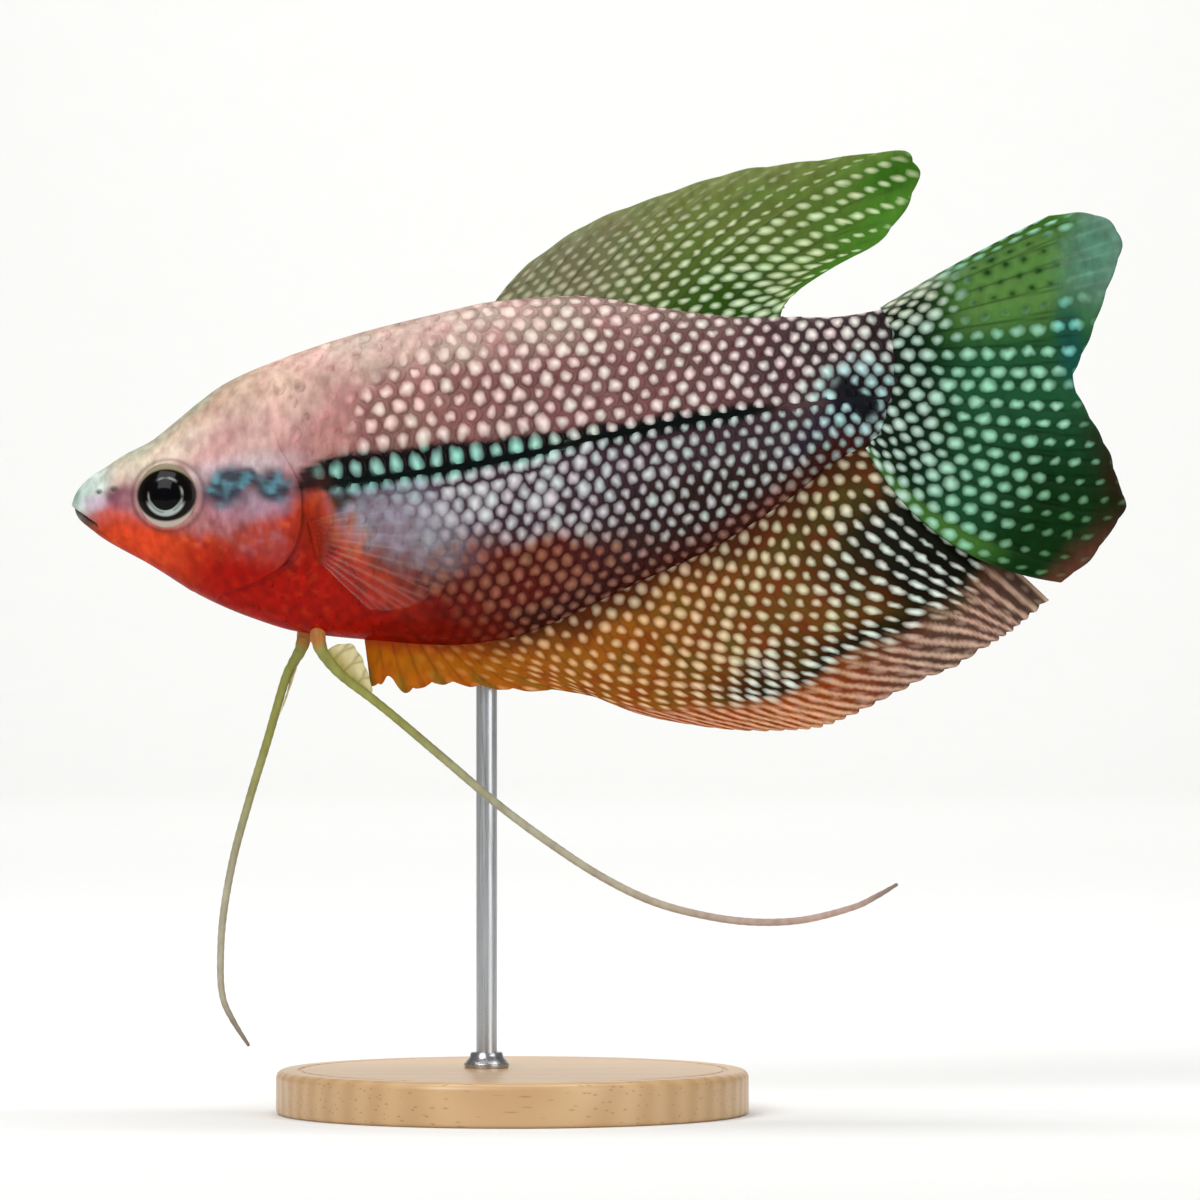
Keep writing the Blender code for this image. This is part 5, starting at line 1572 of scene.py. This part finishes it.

# %% [markdown]
# ## The eyes
#
# A fish's eye is a ball with a flat, clear front. Here the ball is one solid: a black pupil, a thin, broken
# silver ring, a dark brown iris with a painted highlight low in it (a pale crescent for the floor's
# reflection), and an oval margin of pale skin where the lids would be, all under a clear, wet coat with the
# cornea's refractive index. The pupil bulges a little, as the lens does. A clear shell over a painted disc
# would be closer to life, but this eye is only 8 mm wide. Its colours go by the distance from its own axis.

# %% Sizes inside the eye, in millimetres
PUPIL_RADIUS, LENS_BULGE = 1.6, 0.10
RING_RADIUS, RING_HALF = PUPIL_RADIUS + 0.38, 0.22
# The pale crescent is a painted highlight: the floor's reflection, drawn low in the iris.
HIGHLIGHT_CRESCENT_INNER, HIGHLIGHT_CRESCENT_OUTER = (1.68, 1.84), (2.56, 2.24)
HIGHLIGHT_CRESCENT_TOP = (-0.5, -1.4)
IRIS_EDGE = (2.6, 3.3)
IRIS_ACROSS, IRIS_UP = 3.4, 2.9
CORNEA_IOR = 1.376


# %% The iris with its painted highlight
def iris_colour(tree, dial, r, height):
    """Near black, flecked iris, browner at its edge, with a painted highlight: a pale crescent below the
    pupil.
    """
    flecks = add(tree, "TexNoise", {"Vector": dial, "Scale": 1.6, "Detail": 4.0, "Roughness": 0.7})
    iris = add(tree, "Mix", {"Factor": flecks, "A": "#040303", "B": "#120C0C"}, **COLOUR_MIX)
    outer = add(tree, "MapRange", {"Value": r, "From Min": IRIS_EDGE[0], "From Max": IRIS_EDGE[1]}, **SMOOTH)
    iris = add(tree, "Mix", {"Factor": outer, "A": iris, "B": "#1A1413"}, **COLOUR_MIX)
    share = None
    # The pale crescent below the pupil is a painted highlight, for the floor's reflection in the glossy eye.
    for value, (low, high) in ((r, HIGHLIGHT_CRESCENT_OUTER), (r, HIGHLIGHT_CRESCENT_INNER), (height, HIGHLIGHT_CRESCENT_TOP)):
        limit = add(tree, "MapRange", {"Value": value, "From Min": low, "From Max": high}, **SMOOTH)
        share = limit if share is None else add(tree, "Math", {0: share, 1: limit}, operation="MULTIPLY")
    return add(tree, "Mix", {"Factor": share, "A": iris, "B": "#A3ADA9"}, **COLOUR_MIX)


# %% The silver ring and the pupil
def ring_and_pupil(tree, colour, dial, r):
    """The broken silver ring round the pupil, and the black pupil itself."""
    off = add(tree, "Math", {0: r, 1: RING_RADIUS}, operation="SUBTRACT")
    off = add(tree, "Math", {0: off}, operation="ABSOLUTE")
    ring = add(tree, "MapRange", {"Value": off, "From Min": RING_HALF, "From Max": 0.05}, **SMOOTH)
    gaps = add(tree, "TexNoise", {"Vector": dial, "Scale": 0.55, "Detail": 1.0})
    broken = add(tree, "MapRange", {"Value": gaps, "From Min": 0.46, "From Max": 0.56})
    ring = add(tree, "Math", {0: ring, 1: broken}, operation="MULTIPLY")
    colour = add(tree, "Mix", {"Factor": ring, "A": colour, "B": "#7E8580"}, **COLOUR_MIX)
    pupil = add(tree, "MapRange", {"Value": r, "From Min": PUPIL_RADIUS + 0.04,
                                   "From Max": PUPIL_RADIUS - 0.06}, **SMOOTH)
    return add(tree, "Mix", {"Factor": pupil, "A": colour, "B": (0.002, 0.002, 0.003, 1)}, **COLOUR_MIX)


# %% The pale margin and the wet coat
def eye_finish():
    """Iris, silver ring, pupil and margin, drawn from the distance to the eye's axis."""
    finish, tree, surface = new_finish("wet_cornea_over_iris")
    dial = add(tree, "Attribute", attribute_name="dial", out="Vector")
    r = add(tree, "Attribute", attribute_name="from_axis", out="Fac")
    height = add(tree, "SeparateXYZ", {0: dial}, out="Z")
    colour = ring_and_pupil(tree, iris_colour(tree, dial, r, height), dial, r)
    oval = add(tree, "VectorMath", {0: dial, 1: (1 / IRIS_ACROSS, 0.0, 1 / IRIS_UP)}, operation="MULTIPLY")
    oval = add(tree, "VectorMath", {0: oval}, operation="LENGTH", out="Value")
    margin = add(tree, "MapRange", {"Value": oval, "From Min": 0.97, "From Max": 1.08}, **SMOOTH)
    margin = add(tree, "Math", {0: margin, 1: 0.92}, operation="MULTIPLY")
    high = add(tree, "MapRange", {"Value": height, "From Min": -2.4, "From Max": 2.4})
    silver = add(tree, "Mix", {"Factor": high, "A": "#BDAFA2", "B": "#8E846A"}, **COLOUR_MIX)
    colour = add(tree, "Mix", {"Factor": margin, "A": colour, "B": silver}, **COLOUR_MIX)
    wire(tree, surface, {"Base Color": colour, "Roughness": 0.4, "Specular IOR Level": 0.0,
                         "Coat Weight": 0.3, "Coat Roughness": 0.1, "Coat IOR": CORNEA_IOR})
    print("finish", finish.name, len(tree.nodes), "nodes")
    return finish


# %% Eyeballs
EYE_RINGS, EYE_ROUND = 56, 64


def build_eye(side, word, finish):
    """One eyeball, set in its socket, as a stack of rings about its own axis."""
    axis = eye_axis(side)
    up = np.array([0.0, 0.0, 1.0])
    up = up - (up @ axis) * axis
    up /= np.linalg.norm(up)
    ahead = np.cross(up, axis)
    spread = np.radians(np.linspace(2, 178, EYE_RINGS))
    turn = 2 * np.pi * np.arange(EYE_ROUND) / EYE_ROUND
    r = (EYE_RADIUS * np.sin(spread))[:, None]
    lens = LENS_BULGE * np.exp(-((r / PUPIL_RADIUS) ** 4)) * (np.cos(spread) > 0)[:, None]
    out = (EYE_DEPTH * np.cos(spread))[:, None] + lens
    centre = np.array([EYE_X, side * EYE_Y, EYE_Z])
    across = r * np.cos(turn)[None, :]
    high = r * np.sin(turn)[None, :]
    points = centre + across[..., None] * ahead + high[..., None] * up + (out + 0 * high)[..., None] * axis
    faces = grid_faces(EYE_RINGS, EYE_ROUND, wrap=True).tolist() + end_faces(EYE_RINGS, EYE_ROUND)
    dial = np.stack([across, 0 * across, high], -1).reshape(-1, 3)
    marks = dict(dial=dial, from_axis=(r + 0 * across).ravel())
    return make_piece(f"eyeball_{word}", points.reshape(-1, 3), faces, finish, (f"eye_{word}",), marks)


iris_finish = eye_finish()
for side, word in ((-1, "left"), (1, "right")):
    build_eye(side, word, iris_finish)

# %% [markdown]
# ## The stand
#
# Museums set such a model on a small turned base with one thin rod. The base is beech, turned on a lathe,
# so its grain runs straight through it and its rim shows the ends of that grain. A pattern in three
# dimensions gives that by itself, where a flat one would have to be wrapped round. To the eye beech is pale
# and even, with soft growth bands about 2.4 mm wide and short dark flecks, and its satin varnish gives a
# low, broad sheen.

# %% Beech under a satin varnish
BAND_MM, SWAY_MM, FLECK_MM = 2.4, 16, 0.55


def beech_finish():
    """Straight grain along X with growth bands and the short dark flecks of beech rays."""
    finish, tree, surface = new_finish("beech_turned_and_varnished")
    place = add(tree, "TexCoord", out="Object")
    stretched = add(tree, "VectorMath", {0: place, 1: (0.18, 1.0, 1.0)}, operation="MULTIPLY")
    sway = add(tree, "TexNoise", {"Vector": stretched, "Scale": 1 / (SWAY_MM * MM), "Detail": 2.0},
               out="Color")
    sway = add(tree, "VectorMath", {0: sway, 1: (0.0, 3.0 * MM, 3.0 * MM)}, operation="MULTIPLY")
    bent = add(tree, "VectorMath", {0: stretched, 1: sway}, operation="ADD")
    bands = add(tree, "TexWave", {"Vector": bent, "Scale": 0.31 / (BAND_MM * MM), "Distortion": 1.2,
                                  "Detail": 2.0}, wave_type="BANDS", bands_direction="Y", out="Fac")
    flecks = add(tree, "VectorMath", {0: place, 1: (0.12, 1.0, 1.0)}, operation="MULTIPLY")
    flecks = add(tree, "TexVoronoi", {"Vector": flecks, "Scale": 1 / (FLECK_MM * MM)}, feature="F1",
                 out="Distance")
    fleck = add(tree, "MapRange", {"Value": flecks, "From Min": 0.24, "From Max": 0.10})
    fleck = add(tree, "Math", {0: fleck, 1: 0.55}, operation="MULTIPLY")
    colour = add(tree, "Mix", {"Factor": bands, "A": "#CBA678", "B": "#C09A6C"}, **COLOUR_MIX)
    colour = add(tree, "Mix", {"Factor": fleck, "A": colour, "B": "#8A6240"}, **COLOUR_MIX)
    relief = add(tree, "Bump", {"Height": bands, "Strength": 0.08, "Distance": 0.1 * MM})
    rough = add(tree, "MapRange", {"Value": bands, "To Min": 0.36, "To Max": 0.46})
    wire(tree, surface, {"Base Color": colour, "Normal": relief, "Roughness": rough, "Coat Weight": 0.25,
                         "Coat Roughness": 0.25})
    print("finish", finish.name, "with bands of", BAND_MM, "mm")
    return finish


# %% [markdown]
# ### Ground steel
#
# The rod is steel wire rod, ground bright along its length, so fine scratches draw its highlights out into
# streaks. Real scratches are a few hundredths of a millimetre wide. They are drawn 0.12 mm wide, so that
# they show. The same steel makes the small turned collar that hides the hole in the base.

# %% Steel with fine scratches
SCRATCH_MM = 0.12


def steel_finish():
    """Ground steel, a little darker and rougher where it is scratched."""
    finish, tree, surface = new_finish("steel_ground_bright")
    place = add(tree, "TexCoord", out="Object")
    lines = add(tree, "VectorMath", {0: place, 1: (1.0, 1.0, 0.03)}, operation="MULTIPLY")
    scratch = add(tree, "TexNoise", {"Vector": lines, "Scale": 0.5 / (SCRATCH_MM * MM), "Detail": 3.0})
    colour = add(tree, "Mix", {"Factor": scratch, "A": "#9DA0A3", "B": "#D5D6D8"}, **COLOUR_MIX)
    rough = add(tree, "MapRange", {"Value": scratch, "To Min": 0.18, "To Max": 0.40})
    relief = add(tree, "Bump", {"Height": scratch, "Strength": 0.12, "Distance": 0.02 * MM})
    wire(tree, surface, {"Base Color": colour, "Roughness": rough, "Normal": relief, "Metallic": 1.0})
    print("finish", finish.name, "with scratches of", SCRATCH_MM, "mm")
    return finish


# %% [markdown]
# ### Turning
#
# A turned piece is one profile swept round an axis, so each is a list of radii and heights with a rounded
# corner wherever a turner would break the edge. Corners sharper than 35 degrees stay crisp in the shading.

# %% Turning about an axis
SHARP_CORNER = math.radians(35)


def arc(centre, radius, low, high, count):
    """Points of a round corner on a lathe profile, from one angle in degrees to another."""
    turn = np.radians(np.linspace(low, high, count))
    return np.stack([centre[0] + radius * np.cos(turn), centre[1] + radius * np.sin(turn)], 1).tolist()


def turned(name, profile, x, y, sides, finish, node):
    """A piece turned from a profile of (radius, z), closed at both ends on its axis."""
    profile = np.asarray(profile, float)
    turn = 2 * np.pi * np.arange(sides) / sides
    ring = np.stack([np.cos(turn), np.sin(turn)], 1)
    around = np.array([x, y]) + profile[:, :1, None] * ring[None]
    points = np.concatenate([around, np.repeat(profile[:, 1:], sides, 1)[..., None]], -1).reshape(-1, 3)
    faces = grid_faces(len(profile), sides, wrap=True).tolist() + end_faces(len(profile), sides)
    made = make_piece(name, points, faces, finish, (node,))
    made.data.set_sharp_from_angle(angle=SHARP_CORNER)
    return made


# %% Base, rod and collar
BASE_X, BASE_RADIUS, BASE_HEIGHT, BASE_BEVEL, BASE_FOOT_BEVEL = -10.0, 27.0, 5.0, 0.9, 0.5
GROOVE_OUTER, GROOVE_INNER, GROOVE_SLOPE, GROOVE_DEPTH = 2.4, 3.0, 0.15, 0.18
ROD_X, ROD_Y, ROD_RADIUS = -13.0, 3.1, 1.2
ROD_TOP, ROD_FOOT = 63.0, 1.5
COLLAR_RADIUS, COLLAR_HEIGHT = 2.6, 1.8
beech, steel = beech_finish(), steel_finish()

foot_corner = (BASE_RADIUS - BASE_FOOT_BEVEL, BASE_FOOT_BEVEL)
top_corner = (BASE_RADIUS - BASE_BEVEL, BASE_HEIGHT - BASE_BEVEL)
rim = arc(foot_corner, BASE_FOOT_BEVEL, -90, 0, 5) + arc(top_corner, BASE_BEVEL, 0, 90, 9)
rim += [(BASE_RADIUS - GROOVE_OUTER, BASE_HEIGHT)]
rim += [(BASE_RADIUS - GROOVE_OUTER - GROOVE_SLOPE, BASE_HEIGHT - GROOVE_DEPTH)]
rim += [(BASE_RADIUS - GROOVE_INNER + GROOVE_SLOPE, BASE_HEIGHT - GROOVE_DEPTH)]
rim += [(BASE_RADIUS - GROOVE_INNER, BASE_HEIGHT), (1.0, BASE_HEIGHT)]
turned("turned_base", rim, BASE_X, 0.0, 144, beech, "stand_base")

rod = [(ROD_RADIUS, ROD_FOOT), (ROD_RADIUS, ROD_TOP)]
turned("rod", rod, ROD_X, ROD_Y, 48, steel, "stand_rod")

foot = BASE_HEIGHT + 0.02
collar = [(COLLAR_RADIUS - 0.1, foot)] + arc((COLLAR_RADIUS - 0.2, foot + 0.4), 0.2, 0, 60, 4)
collar += [(COLLAR_RADIUS * 0.75, foot + 1.2)]
collar += arc((COLLAR_RADIUS * 0.62, COLLAR_HEIGHT + foot - 0.25), 0.25, 0, 90, 5)
collar += [(ROD_RADIUS + 0.05, foot + COLLAR_HEIGHT)]
turned("collar", collar, ROD_X, ROD_Y, 64, steel, "stand_ferrule")

# %% [markdown]
# ## The floor
#
# A pale paper sweep runs under the stand and up behind it in one curve, so there is no line where floor
# meets wall. Matt paper gives the eye nothing but an even tone. Its fibres are too fine to see from here,
# so they only soften that tone, in clouds of some millimetres.

# %% Matt paper
FIBRE_CLOUD_MM = 6


def paper_finish():
    """Matt white paper with a barely uneven tone."""
    finish, tree, surface = new_finish("matt_white_paper")
    place = add(tree, "TexCoord", out="Object")
    fibre = add(tree, "TexNoise", {"Vector": place, "Scale": 0.5 / (FIBRE_CLOUD_MM * MM), "Detail": 5.0})
    colour = add(tree, "Mix", {"Factor": fibre, "A": "#EAEAE8", "B": "#ECECEA"}, **COLOUR_MIX)
    wire(tree, surface, {"Base Color": colour, "Roughness": 0.9})
    return finish


# %% The sweep
SWEEP_FRONT, SWEEP_BACK, SWEEP_RADIUS, SWEEP_WIDE, SWEEP_HIGH = -1800.0, 2200.0, 700.0, 2200.0, 1300.0
curve = [(SWEEP_FRONT, 0.0), (SWEEP_BACK - SWEEP_RADIUS, 0.0)]
curve += arc((SWEEP_BACK - SWEEP_RADIUS, SWEEP_RADIUS), SWEEP_RADIUS, -90, 0, 24)[1:]
curve += [(SWEEP_BACK, SWEEP_HIGH)]
sweep_points = [(x, y, z) for y, z in curve for x in (-SWEEP_WIDE, SWEEP_WIDE)]
sweep_mesh = bpy.data.meshes.new("paper_sweep")
sweep_mesh.from_pydata([Vector(p) * MM for p in sweep_points], [], grid_faces(len(curve), 2).tolist())
sweep_mesh.shade_smooth()
sweep_mesh.materials.append(paper_finish())
sweep = bpy.data.objects.new("paper_sweep", sweep_mesh)
bpy.context.scene.collection.objects.link(sweep)
print("sweep", len(sweep_mesh.polygons), "faces")

# %% [markdown]
# ## Light
#
# Large soft lights put no hard spot on the wet skin: a key at the upper left, a weaker fill on the right, a
# little from above to light the back, and two that wash the paper behind, so the fish stands on an even,
# pale ground as in the photograph. A dim, even surround lifts the last shadows.

# %% Surround and lamps
SURROUND_STRENGTH = 0.16
world = bpy.data.worlds.new("studio")
world.use_nodes = True
world.node_tree.nodes["Background"].inputs["Color"].default_value = (1, 1, 1, 1)
world.node_tree.nodes["Background"].inputs["Strength"].default_value = SURROUND_STRENGTH
bpy.context.scene.world = world
# Each lamp: name, place and target in millimetres, the side of its square in millimetres, and its watts.
LIGHTS = [
    ("key", (-420, -640, 560), (0, 0, 60), 460, 4.6),
    ("fill", (560, -600, 260), (0, 0, 60), 520, 2.2),
    ("top", (0, 60, 700), (0, 0, 60), 520, 1.0),
    ("behind", (0, 250, 1000), (0, 1100, 200), 900, 11.0),
    ("wall", (0, 1300, 1100), (0, 2200, 100), 900, 9.0),
]
for name, place, target, size, power in LIGHTS:
    lamp = bpy.data.lights.new(name, "AREA")
    lamp.size = size * MM
    lamp.energy = power
    lamp_object = bpy.data.objects.new(name, lamp)
    bpy.context.scene.collection.objects.link(lamp_object)
    lamp_object.location = Vector(place) * MM
    lamp_object.rotation_euler = (Vector(target) - Vector(place)).to_track_quat("-Z", "Y").to_euler()
    print("light", name, power, "W")

# %% [markdown]
# ## Camera
#
# The camera looks straight at the left flank, as the photograph does, from nearly a metre with a long lens.
# The long distance keeps the perspective flat, and the lens is worked out from the width that it has to
# frame.

# %% Camera
FRAME_MM = 137.14
FRAME_CENTRE_Z = 58.63
CAMERA_AWAY = 900.0
SENSOR_MM = 36
camera = bpy.data.cameras.new("camera")
camera.sensor_width = SENSOR_MM
camera.lens = SENSOR_MM * CAMERA_AWAY / FRAME_MM
camera.clip_start = 0.01
camera_object = bpy.data.objects.new("camera", camera)
camera_object.location = Vector((0, -CAMERA_AWAY, FRAME_CENTRE_Z)) * MM
camera_object.rotation_euler = (math.radians(90), 0, 0)
bpy.context.scene.collection.objects.link(camera_object)
bpy.context.scene.camera = camera_object
bpy.context.scene.view_settings.view_transform = "Standard"
print("lens, mm", round(camera.lens, 1))

# %% Count the pieces and their faces
print(len(pieces), "pieces,", sum(len(made.data.polygons) for made in pieces.values()), "faces in all")
